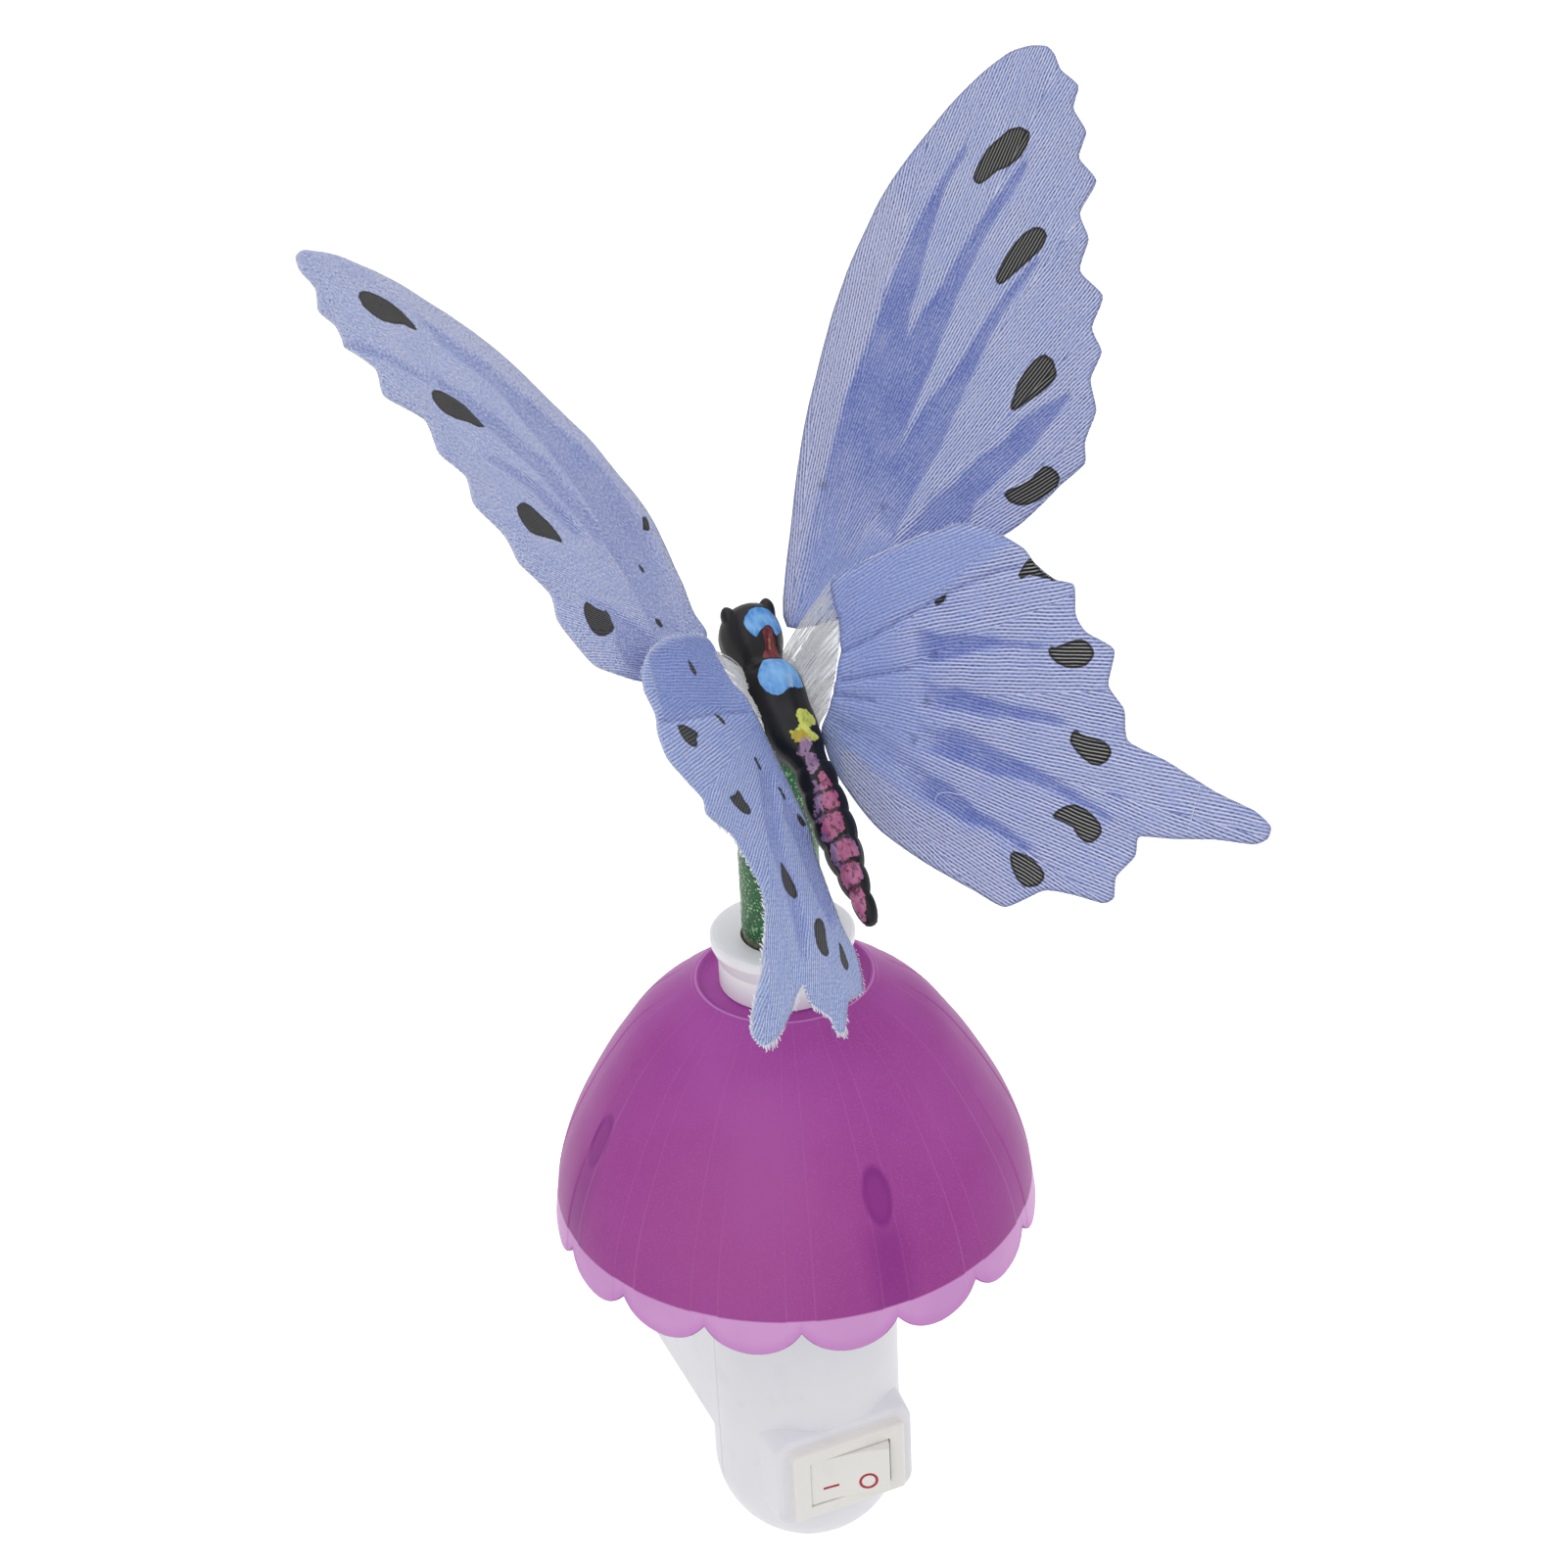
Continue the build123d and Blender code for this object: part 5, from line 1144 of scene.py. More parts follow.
# every thread is a little brighter or duller than its neighbours, and changes along its length
own_place = sheet.get(0, "CombineXYZ", {0: along * 0.45, 1: thread * 1.7})
sheet.give(Line=line, Gap=gap, Twill=twill.step(-0.5, 0.8), Thread=sheet.noise(own_place, 1.0, 1.0),
           Streak=sheet.noise(turned, 1.0, 2.0, (0.16, 2.4, 1.0)), Cloud=sheet.noise(drawing, 0.22, 4.0),
           Fuzz=sheet.noise(drawing, 4.5, 3.0), Height=line - gap)
print("group", weave_group.name, "ready")

# %% Printed cloth: where the marks lie
CLOTH = {name: screen(*colour) for name, colour in {
    "pale": (160, 178, 235), "pale_cloud": (180, 191, 239), "strip": (194, 199, 236), "wash": (157, 177, 234),
    "band": (90, 111, 194), "light_thread": (238, 241, 255), "gap": (62, 76, 152), "twill": (156, 172, 230),
    "rim": (202, 208, 234), "dark_rim": (132, 142, 190), "ink": (24, 24, 25), "ink_thread": (206, 205, 200),
    "ink_rim": (20, 20, 21), "smudge": (86, 92, 128)}.items()}
PRINT_INPUTS = ["Threads show", "Mottle", "Band cover", "Band edge", "Bands begin", "Bands full", "Wash full",
                "Wash ends", "Ink threads"]
print_group, sheet, given = new_group("printed_cloth", {
    **dict.fromkeys(WEAVE_INPUTS + PRINT_INPUTS, "value"), "Tint": "colour", "Rim": "colour"})
drawing = sheet.stored("drawing", "Vector")
weave_values = {"Drawing": drawing, **{key: given[key] for key in WEAVE_INPUTS}}
threads = sheet.named(sheet.add("Group", weave_values, node_tree=weave_group).outputs)
light, gap, twill, own, streak, cloud, fuzz, height = (threads[key] for key in THREAD_OUTPUTS)
ragged = fuzz * 0.7 - 0.35
from_root = sheet.get("Value", "VectorMath", {0: drawing}, operation="LENGTH")
softness = given["Band edge"]
band = (sheet.stored("band") + ragged).step(softness * -0.7, softness * 0.6, given["Band cover"], 0.0)
band = band * from_root.step(given["Bands begin"], given["Bands full"], 0.12, 1.0) * cloud.step(0.3, 0.75, 1.0, 0.72)
wash = sheet.math("MAXIMUM", (sheet.stored("wash") + ragged * 2.0).step(-1.5, 0.8, 0.85, 0.0),
                  (cloud * 8.0 + (from_root - 4.0)).step(given["Wash full"], given["Wash ends"], 0.85, 0.0))
strip = (sheet.stored("strip") + ragged).step(-0.5, 0.2, 0.75, 0.0)
dark_zone = sheet.math("MAXIMUM", band, wash * (1.0 - strip))
print("the print has", len(CLOTH), "colours")

# %% Printed cloth: coats over the threads
# how strongly the threads show: little in the dark zone, and more in some streaks and threads
strength = (dark_zone * -0.72 + 1.0) * (streak * 0.9 + (given["Threads show"] - 0.45))
strength = strength * own.step(0.3, 0.65, 0.6, 1.25)
mottle = given["Mottle"]
margin = sheet.stored("edge").step(0.5, 8.0, 1.0, 0.4)
speck = sheet.noise(drawing, 3.6, 1.0).step(0.56, 0.68)
nap = sheet.noise(drawing, 3.1, 2.0)
stain = sheet.stored("smudge").step(0.1, 0.8) * fuzz.step(0.35, 0.6)
cloth = sheet.layers(
    sheet.mix((streak * 0.5 + cloud * 0.5).step(0.36, 0.62), CLOTH["pale"], CLOTH["pale_cloud"]),
    (wash, CLOTH["wash"]), (band, CLOTH["band"]), (strip, CLOTH["strip"]),
    (sheet.math("MULTIPLY", light, strength, clamp=True), CLOTH["light_thread"]),
    (sheet.math("MULTIPLY", gap, strength * 0.72, clamp=True), CLOTH["gap"]),
    (twill * (dark_zone * 0.34), CLOTH["twill"]),
    # dark specks between the threads, thickest near the margin
    (speck * (margin * mottle), CLOTH["gap"]),
    (fuzz.step(0.5, 0.75) * (mottle * 0.6), CLOTH["light_thread"]),
    # the nap: brushed fibre ends that stand up in light and dark grains
    (nap.step(0.5, 0.64, 0.0, mottle * 0.5), CLOTH["light_thread"]),
    (nap.step(0.36, 0.5, mottle * 0.32, 0.0), CLOTH["gap"]),
    (sheet.stored("edge").step(0.05, 0.4, 0.5, 0.0), given["Rim"]),
    # painted shade in the pressed creases
    (sheet.stored("crease").step(0.05, 0.4, 0.45, 0.0), CLOTH["gap"]),
    (stain * 0.7, CLOTH["smudge"]))
# each wing's own painted shade darkens its whole cloth
cloth = sheet.mix(1.0, cloth, given["Tint"], "MULTIPLY")
# the spots are printed last, so their black isn't tinted
spot = fuzz * 0.22 + (sheet.stored("spot") - 0.11)
ink = sheet.layers(CLOTH["ink"], (light.step(0.4, 0.9) * given["Ink threads"], CLOTH["ink_thread"]),
                   (spot.step(-0.45, -0.1, 0.0, 0.8), CLOTH["ink_rim"]))
sheet.give(Colour=sheet.mix(spot.step(-0.07, 0.07, 1.0, 0.0), cloth, ink),
           Roughness=height.step(-1.0, 1.0, 0.9, 0.72), Height=height)
print("group", print_group.name, "ready")

# %% Cloth materials
# For each wing: panel width and turn of the threads in degrees, their spread and pitch, how much
# the light threads show, mottle, cover and softness of the bands, the distances from the root where
# the bands begin and are full, where the wash at the root is full and where it ends, how much the
# threads show in the spots. Then the painted shade, which darkens each wing by its own amount, and
# whether the cut edge is pale with fluff or dark.
WEAVES = {
    "right_forewing": (11.0, 3.0, 0.9, 0.355, 0.98, 0.35, 1.0, 0.35, 8.0, 26.0, 1.0, 16.0, 0.40,
                       (0.88, 0.88, 0.90, 1.0), CLOTH["dark_rim"]),
    "left_forewing": (14.0, 4.0, 0.9, 0.32, 0.60, 0.75, 0.60, 1.0, 6.0, 24.0, 0.0, 10.0, 0.12,
                      (1.0, 1.0, 0.98, 1.0), CLOTH["rim"]),
    "right_hindwing": (16.0, -22.0, 0.57, 0.375, 1.0, 0.25, 0.98, 0.6, 12.5, 18.5, 9.0, 21.0, 0.66,
                       (0.94, 0.94, 0.97, 1.0), CLOTH["dark_rim"]),
    "left_hindwing": (24.0, -13.0, 0.55, 0.37, 0.72, 0.45, 0.55, 1.1, 4.0, 14.0, 3.0, 15.0, 0.15,
                      (0.86, 0.92, 0.97, 1.0), CLOTH["rim"]),
}
THREAD_RELIEF = 0.035
for name, piece in wing_pieces.items():
    values = dict(zip(WEAVE_INPUTS + PRINT_INPUTS + ["Tint", "Rim"], WEAVES[name]))
    for key in ("Panel", "Turn"):
        values[key] = math.radians(values[key])
    piece.data.materials.append(from_group(name + "_weave", print_group, values, THREAD_RELIEF,
                                           Specular_IOR_Level=0.25, Sheen_Weight=0.12))
print("woven:", list(WEAVES))

# %% [markdown]
# ### Cut and loose threads
# Scissors leave short ends of thread along the cut, longest in the hollow bay of the left hindwing.
# One thread has come loose on the right hindwing, and a row of small stitches crosses its tail.
# Each end is a thin round rod of its own. All the rods of a wing are one mesh, because hundreds
# of separate objects would be slow and hard to handle.

# %% Threads as thin rods
ROD_GUIDE = Vector((0.31, 0.52, 0.79))


def rod(line, radius, sides=5, tip=1.0):
    """Points and faces of a thin round rod along a line; tip is the share of the radius left at its end."""
    line = [Vector(p) for p in line]
    points = []
    for i, place in enumerate(line):
        ahead = (line[min(i + 1, len(line) - 1)] - line[max(i - 1, 0)]).normalized()
        points += ring_points(place, ahead, ROD_GUIDE, radius * (1 + (tip - 1) * i / (len(line) - 1)), sides)
    caps = [tuple(range(sides))[::-1], tuple(range(len(points) - sides, len(points)))]
    return points, grid_faces(len(line), sides) + caps


print("a rod of two points has", len(rod([(0, 0, 0), (1, 0, 0)], 0.1)[1]), "faces")

# %% Which threads are loose
# share of the edge that frays, shortest and longest end, and the places where the ends are long
FRAYS = {
    "right_forewing": (0.35, 0.08, 0.22, []),
    "left_forewing": (0.75, 0.10, 0.34, []),
    "right_hindwing": (0.55, 0.08, 0.30, []),
    "left_hindwing": (1.0, 0.14, 0.40, [((21.5, -20.0), 6.5), ((23.0, -30.0), 5.0), ((33.0, -37.5), 4.5),
                                        ((16.0, -36.0), 4.5)]),
}
CUT_STEP, END_RADIUS, LONG_END_RADIUS, END_TIP = 0.33, 0.04, 0.085, 0.6
END_INSET, END_LEAN, END_LIFT, PROBE_REACH = 0.1, 0.7, 0.12, 0.3
# lines with a rise above the cloth, and the radius of their thread
LOOSE = {"right_hindwing": [
    ([(6.8, -17.2, 0.15), (7.9, -16.9, 0.45), (9.1, -17.4, 0.5), (10.4, -18.7, 0.15)], 0.035),
    ([(10.2, 9.4, 0.0), (14.0, 8.55, 0.02), (17.0, 7.8, 0.0), (23.6, 5.9, 0.0)], 0.07)]}
# both ends of the row, the number of stitches, their rise and their radius
STITCHES = {"right_hindwing": ((34.5, -33.3), (30.0, -36.7), 13, 0.12, 0.05)}
print("frayed share of each edge:", {name: fray[0] for name, fray in FRAYS.items()})

# %% Threads of the four wings
thread_material, sheet, shader = new_material("cut_threads")
strands = sheet.noise(sheet.place(), 3000.0, 2.0)
dress(sheet, shader, sheet.mix(strands, screen(222, 226, 244), screen(250, 250, 254)),
      strands.step(0.2, 0.8, 0.7, 0.9))
draws = random.Random(11)
for name, wing in WINGS.items():
    share, shortest, longest, bays = FRAYS[name]
    edge = divided(wing["cut"], CUT_STEP)
    rods = []
    for before, here, after in zip(edge, edge[1:], edge[2:]):
        if draws.random() > share:
            continue
        here, along = Vector(here), Vector(after) - Vector(before)
        # an outline may run either way round, so a probe finds which side is outside
        outward = Vector((along.y, -along.x)).normalized()
        if distance_to_edge(np.array([here + outward * PROBE_REACH]), wing["outline"])[1][0]:
            outward = -outward
        length = shortest + (longest - shortest) * draws.random() ** 2
        frayed = any((here - Vector(bay)).length < reach for bay, reach in bays)
        if frayed:
            length = longest * (0.8 + 1.2 * draws.random() ** 2)
        sideways = Vector((-outward.y, outward.x)) * draws.uniform(-END_LEAN, END_LEAN)
        start = here - outward * END_INSET
        bend = start + (outward + sideways * 0.5) * (length * 0.6)
        end = start + (outward + sideways) * (length + END_INSET)
        lift = draws.uniform(-END_LIFT, END_LIFT)
        line = [on_wing(wing, *start), on_wing(wing, *bend, lift * 0.4), on_wing(wing, *end, lift)]
        rods.append(rod(line, LONG_END_RADIUS if frayed else END_RADIUS, 4, END_TIP))
    for line, radius in LOOSE.get(name, []):
        rods.append(rod(smooth_line([on_wing(wing, *p) for p in line], 6), radius))
    if name in STITCHES:
        (u0, v0), (u1, v1), count, rise, radius = STITCHES[name]
        for stitch in range(count):
            ends = [(stitch + part) / count for part in (0.15, 0.7)]
            rods.append(rod([on_wing(wing, u0 + (u1 - u0) * t, v0 + (v1 - v0) * t, rise) for t in ends], radius))
    hand_over(mesh_piece(name + "_threads", *joined(rods)), thread_material)
    print(name, "thread ends:", len(rods))

# %% [markdown]
# ### The cloth goes to the lamp
# Each wing's cloth is handed over to the lamp's body in place of its CAD node, and the size it was
# cut to, the width and the length of its flat outline, is printed.

# %% Cloth handed over
for name, wing in WINGS.items():
    width, length = (np.max(wing["cut"], axis=0) - np.min(wing["cut"], axis=0)) * MM
    piece = hand_over(wing_pieces[name], wing_pieces[name].data.materials[0], instead_of=(name,))
    print(name, "cut to", round(width / MM, 1), "x", round(length / MM, 1), "mm")

# %% [markdown]
# ## The painted body
# The body is a moulded figure dipped in black enamel and touched up by hand: a blue patch on the
# head, a dark red stroke at the neck, a second blue patch, a ragged yellow dab, and pink and lilac
# dabs on the rings of the abdomen. It could be sculpted, but its sections are nearly round, so a
# loft of rings along the axis is enough. The head hangs a little to one side and down, so every
# ring also has its own shift. Two small horns are domes set into the head.

# %% Body: rings along the axis
# distance along the axis, radius, and how far the ring hangs down and aside
BODY_LINE = [
    (9.9, 0.0, 0.8), (9.8, 1.2, 0.8), (9.45, 2.1, 0.8), (8.6, 3.0, 0.85), (7.4, 3.45, 1.03), (6.0, 3.56, 1.08),
    (4.8, 3.4, 1.14), (3.8, 3.0, 1.16), (2.9, 2.58, 1.16), (2.2, 2.62, 1.08), (1.4, 3.02, 0.9), (0.2, 3.34, 0.86),
    (-1.5, 3.5, 1.0), (-3.3, 3.52, 1.2), (-5.1, 3.42, 1.08), (-6.7, 3.14, 0.86), (-8.0, 2.78, 0.58),
    (-9.3, 2.2, 0.28), (-10.6, 1.93, 0.08),
]
RING_JOINTS = [(-10.6, 1.93, 0.0), (-13.4, 2.05, 0.1), (-16.6, 2.1, 0.15), (-19.8, 1.95, 0.2), (-23.0, 1.55, 0.3),
               (-26.0, 1.1, 0.28), (-29.0, 0.78, 0.25)]
TAIL_TIP = [(-29.25, 0.66, 0.25), (-29.42, 0.4, 0.25), (-29.48, 0.12, 0.25)]
RING_BULGE, RING_ROUNDNESS, RING_STEPS = 0.28, 0.75, 14
HANG = (-0.70, -0.98)
FOLD_DEPTH, FOLD_LENGTH, FOLDS_AROUND, BODY_COLUMNS = 0.09, 5, 3.0, 112

body_line = [tuple(p) for p in smooth_line(BODY_LINE, 8)]
for front, rear in zip(RING_JOINTS, RING_JOINTS[1:]):
    for step in range(1, RING_STEPS + 1):
        t = step / RING_STEPS
        along, radius, hang = (f + (r - f) * t for f, r in zip(front, rear))
        body_line.append((along, radius + RING_BULGE * math.sin(math.pi * t) ** RING_ROUNDNESS, hang))
body_line += TAIL_TIP


def body_point(along, radius, hang, angle):
    """A point of the body's skin in the body's own frame, with the long shallow folds of the mould."""
    around_axis = FOLDS_AROUND * math.sin(angle), FOLDS_AROUND * math.cos(angle)
    fold = noise.noise(Vector((around_axis[0], along / FOLD_LENGTH, around_axis[1])))
    r = max(radius + FOLD_DEPTH * fold * min(radius / 2, 1), 0.02)
    return Vector((r * math.sin(angle) + HANG[0] * hang, along, r * math.cos(angle) + HANG[1] * hang))


points, skin = [], []
for along, radius, hang in body_line:
    for angle in around(BODY_COLUMNS):
        turn = angle - math.pi
        points.append(body_point(along, radius, hang, turn))
        skin.append((along, math.degrees(turn)))
parts = [(points, grid_faces(len(body_line), BODY_COLUMNS))]
print("body:", len(points), "points along", round(body_line[0][0] - body_line[-1][0], 1), "mm")

# %% Body: horns
HORN_FOOT, HORN_TIP, HORN_SHIFT = (2.1, 7.9, 0.2), (2.45, 9.85, 0.75), -0.55
HORN_RADIUS, HORN_COLUMNS = 0.95, 20
HORN_RINGS = [(0.0, 1.0), (0.35, 1.0), (0.6, 0.9), (0.8, 0.68), (0.94, 0.38), (1.0, 0.08)]
# no dab reaches this far round, so the horns stay black
UNPAINTED_TURN = 170.0
for side in (-1, 1):
    foot, tip = (Vector((side * x + HORN_SHIFT, y, z)) for x, y, z in (HORN_FOOT, HORN_TIP))
    horn = []
    for share, size in HORN_RINGS:
        horn += ring_points(foot + (tip - foot) * share, (tip - foot).normalized(), Vector((0, 0, 1)),
                            HORN_RADIUS * size, HORN_COLUMNS)
    cap = tuple(range(len(horn) - HORN_COLUMNS, len(horn)))
    parts.append((horn, grid_faces(len(HORN_RINGS), HORN_COLUMNS) + [cap]))
    skin += [(point.y, UNPAINTED_TURN) for point in horn]
points, faces = joined(parts)
butterfly = mesh_piece("painted_body", [BODY_FRAME @ p for p in points], faces)
print("with horns:", len(points), "points")

# %% [markdown]
# ### Dabs of paint
# A dab is a polygon too: distance along the body, and degrees around it from the back. The mesh
# keeps the distance to the nearest dab of each colour, and fine noise makes the brush's edge
# ragged. Later colours lie over earlier ones, as they do on the figure.

# %% Dabs, in the order in which they are painted
DABS = {
    "blue": [
        [(7.0, -30), (7.6, -24), (8.2, -13), (8.4, 2), (8.3, 18), (7.9, 31), (7.3, 41), (6.5, 50), (5.7, 48),
         (5.2, 40), (4.7, 26), (5.0, 22), (5.6, 20), (6.0, 13), (5.9, 5), (5.5, -5), (4.9, -17), (5.4, -24),
         (6.2, -30)],
        [(2.4, -20), (2.3, 1), (2.2, 26), (1.8, 40), (0.9, 47), (-0.1, 50), (-1.0, 52), (-1.7, 44), (-2.0, 23),
         (-1.7, 10), (-2.0, 0), (-2.3, -10), (-2.4, -21), (-2.1, -30), (-1.4, -40), (-0.5, -46), (0.5, -47),
         (1.4, -39)]],
    "brush": [
        [(-0.2, 5), (-0.1, 14), (-1.2, 17), (-1.9, 14), (-1.8, 2), (-1.2, -2)]],
    "red": [
        [(5.3, -5), (5.8, 4), (5.9, 11), (5.6, 17), (4.9, 19), (4.1, 21), (3.2, 28), (2.5, 40), (2.4, 14),
         (2.5, -5), (2.6, -20), (3.4, -7), (4.2, -4), (4.7, -4)]],
    "ochre": [
        [(4.9, 10), (4.2, 11), (3.4, 9), (3.5, 4), (4.3, 4)]],
    "yellow": [
        [(-4.7, -2), (-4.4, 9), (-4.5, 25), (-5.1, 37), (-5.7, 44), (-6.3, 41), (-6.5, 26), (-6.8, 12), (-7.3, 16),
         (-7.7, 31), (-8.0, 34), (-8.4, 17), (-8.4, 0), (-8.0, -7), (-8.2, -19), (-8.1, -34), (-7.4, -31),
         (-6.7, -28), (-6.7, -19), (-6.5, -10), (-6.0, -3), (-5.5, -3)]],
    "gold": [
        [(-6.9, -14), (-6.9, -4), (-7.5, 2), (-8.3, 6), (-8.0, -7), (-8.2, -19), (-8.1, -34), (-7.4, -31),
         (-6.8, -26)]],
    "lilac": [
        [(-8.2, -17), (-8.4, 0), (-9.0, -4), (-9.5, -19), (-9.3, -26)],
        [(-9.7, -15), (-10.0, 4), (-10.9, 1), (-11.7, -16), (-11.0, -26)],
        [(-13.2, -24), (-13.9, -18), (-14.4, -9), (-15.1, -23), (-15.9, -37), (-15.1, -40)],
        [(-16.1, -57), (-16.4, -37), (-16.8, -36), (-17.0, -54), (-16.6, -63)],
        [(-18.6, -60), (-19.1, -43), (-19.4, -53), (-19.0, -64)],
        [(-19.9, -44), (-20.1, -22), (-20.8, -26), (-21.3, -36), (-22.1, -34), (-22.6, -50), (-22.0, -59),
         (-21.4, -58)],
        [(-19.8, -2), (-20.0, 14), (-20.9, 22), (-21.8, 28), (-21.0, 6)],
        [(-23.0, 2), (-23.2, 20), (-24.4, 16), (-24.6, -2)]],
    "pink": [
        [(-12.1, -3), (-12.3, 7), (-13.0, 18), (-13.6, 23), (-13.9, 5), (-14.1, -12), (-13.3, -13)],
        [(-14.5, -13), (-14.4, 7), (-14.6, 22), (-15.5, 19), (-16.2, 17), (-16.6, -3), (-16.3, -21), (-15.6, -23)],
        [(-16.6, -18), (-16.8, 4), (-17.4, 9), (-18.3, 9), (-18.8, 4), (-19.2, -16), (-19.6, -40), (-18.8, -49),
         (-18.0, -52), (-17.2, -38)],
        [(-20.3, -30), (-19.9, -4), (-20.3, 12), (-21.3, 21), (-21.9, 25), (-22.0, 2), (-22.3, -26), (-21.8, -36),
         (-21.0, -34)],
        [(-22.7, -49), (-22.5, -21), (-22.5, 5), (-23.1, 21), (-23.8, 22), (-24.6, 9), (-25.1, -13), (-25.0, -39),
         (-25.1, -63), (-24.5, -64), (-23.6, -67)],
        [(-25.3, -58), (-25.3, -22), (-25.5, 0), (-26.4, 0), (-27.4, -13), (-28.3, -36), (-28.8, -45),
         (-28.6, -80), (-27.5, -77), (-26.2, -90)]],
}
# the dabs were drawn from the back; the wider thorax turns them a little
THORAX_END, THORAX_TURN, TAIL_TURN = -9, 8, -3
PAINT_RADIUS = 2.7
JOINTS_OF_PAINT = [-14.3, -16.6, -19.8, -22.4, -25.2]


def unrolled(points):
    """Places on the skin laid flat: along the body and around it, both in millimetres."""
    return [(along, math.radians(turn) * PAINT_RADIUS) for along, turn in points]


flat_skin = np.array(unrolled(skin))
for colour, dabs in DABS.items():
    turned_dabs = [[(along, turn + (THORAX_TURN if along > THORAX_END else TAIL_TURN)) for along, turn in dab]
                   for dab in dabs]
    store(butterfly, "paint_" + colour, mark_distance(flat_skin, [unrolled(dab) for dab in turned_dabs]))
store(butterfly, "from_joint", [min(abs(along - joint) for joint in JOINTS_OF_PAINT) for along, _ in skin])
print("dabs:", {colour: len(dabs) for colour, dabs in DABS.items()})

# %% Body: paint
# deep and light tone, cover, raggedness, how worn, how far spread beyond the dab, and how strong
# the painted highlight in the middle of the dab is
PAINTS = {
    "blue": ((64, 136, 210), (146, 198, 240), 1.0, 0.35, 0.0, 0.0, 0.85),
    "brush": ((120, 170, 214), (206, 208, 214), 0.8, 1.0, 0.4, 0.0, 0.65),
    "red": ((88, 30, 36), (150, 76, 76), 0.97, 0.6, 0.0, 0.0, 0.65),
    "ochre": ((150, 90, 60), (206, 170, 130), 0.85, 1.0, 0.0, 0.0, 0.65),
    "yellow": ((196, 206, 76), (228, 230, 126), 0.98, 1.4, 0.3, 0.0, 0.65),
    "gold": ((168, 148, 40), (208, 180, 62), 0.93, 1.4, 0.0, 0.0, 0.65),
    "lilac": ((140, 96, 146), (196, 164, 196), 0.72, 2.6, 0.8, 0.35, 0.65),
    "pink": ((164, 78, 118), (206, 128, 162), 0.95, 2.4, 0.65, 0.15, 0.65),
}
ON_RINGS = ("lilac", "pink")

enamel, sheet, shader = new_material("black_enamel")
place = sheet.place()
ripples = sheet.noise(place, 420.0, 3.0)
brush = sheet.noise(place, 1500.0, 3.0, (1.0, 0.45, 0.45))
ragged = sheet.noise(place, 1900.0, 2.0) * 0.5 - 0.25
wear = sheet.noise(place, 2600.0, 2.0, (1.0, 0.6, 0.6)).step(0.54, 0.66)
# the brush skims over the rings and leaves the joints between them black
off_joints = (ragged * 2.4 + sheet.stored("from_joint")).step(0.06, 0.36, 0.15, 1.0)
tone = sheet.mix(ripples, screen(6, 6, 8), screen(19, 19, 23))
covered = None
for colour, (deep, light, cover, rough_edge, worn, spread, middle_highlight) in PAINTS.items():
    reach = ragged * rough_edge + (sheet.stored("paint_" + colour) - spread)
    mask = reach.step(-0.05, 0.05, cover, 0.0) * (wear * -worn + 1.0)
    if colour in ON_RINGS:
        mask = mask * off_joints
    # the light tone in the middle of each dab is a painted highlight
    thick = sheet.math("MULTIPLY", reach.step(-1.3, -0.3, middle_highlight, 0.0), ripples, clamp=True)
    paint = sheet.layers(screen(*deep), (brush.step(0.25, 0.75, 0.0, 0.8), screen(*light)), (thick, screen(*light)))
    tone = sheet.mix(mask, tone, paint)
    covered = mask if covered is None else sheet.math("MAXIMUM", covered, mask)
dress(sheet, shader, tone, ripples * 0.2 + covered.step(0.0, 1.0, 0.34, 0.22),
      ripples * 0.6 + covered * (brush * 0.6 + 0.5), 0.09, Specular_IOR_Level=0.3)
hand_over(butterfly, enamel, instead_of=("butterfly_body",))
print("body painted")

# %% [markdown]
# ## Fans of clear fibres
# Fine clear fibres, like short lengths of fishing line, join each wing to a slot in the side of
# the body. They are glued side by side, so most of a fan is a thin clear film with a silky grain,
# and only at its upper end do single fibres stand free. Curves with a bevel would do for the
# fibres, but rods in one mesh can share that mesh with the film, so one piece is one fan.
# Clear fibres gather the light around them and pass it on, so they look brighter than the shadow
# they stand in. A faint glow of the material stands for that.

# %% Fans: where they leave the body and where they meet the wing
FANS = {
    "right_hindwing": dict(
        roots=[(-1.9, -2.6), (-1.7, 0.9), (-1.7, 4.4), (-2.9, 6.4)], film=0.66, fibres=210, drop=0.0,
        ends=[(0.6, -1.4), (1.9, -0.4), (3.9, 1.2), (6.1, 3.3), (7.8, 5.8), (9.6, 9.4)]),
    "left_hindwing": dict(
        roots=[(-1.6, -1.9), (-1.5, 0.7), (-1.2, 3.0)], film=0.86, fibres=130, drop=1.3,
        ends=[(1.1, -1.8), (2.0, -0.6), (3.4, 2.1), (4.8, 4.8), (5.0, 7.6)]),
    "right_forewing": dict(
        roots=[(-1.5, -4.8), (-1.4, -3.4), (-0.6, -2.0)], film=0.95, fibres=70, drop=0.0,
        ends=[(4.0, -4.0), (6.5, -2.4), (8.4, -0.6), (6.0, 1.4)]),
    "left_forewing": dict(
        roots=[(-1.5, -4.6), (-1.4, -3.2), (-0.4, -1.8)], film=0.95, fibres=70, drop=0.0,
        ends=[(4.0, -3.6), (6.5, -2.2), (8.4, -0.8), (6.4, 1.0)]),
}
FAN_ARCH, FAN_SAG = 0.35, 0.22
FIBRE_RADIUS, FIBRE_STEPS, FIBRE_TIP = 0.04, 6, 0.7
FIBRE_SHIFT, FIBRE_DRIFT, FIBRE_RISE, FIBRE_REACH = 0.6, 0.035, 0.3, (0.9, 1.12)
FILM_ROWS, FILM_COLUMNS, FILM_HALF, FILM_REACH = 12, 90, 0.05, 1.04
FILM_RIPPLE, RIPPLES_ACROSS, RIPPLES_ALONG = 0.07, 45, 1.2


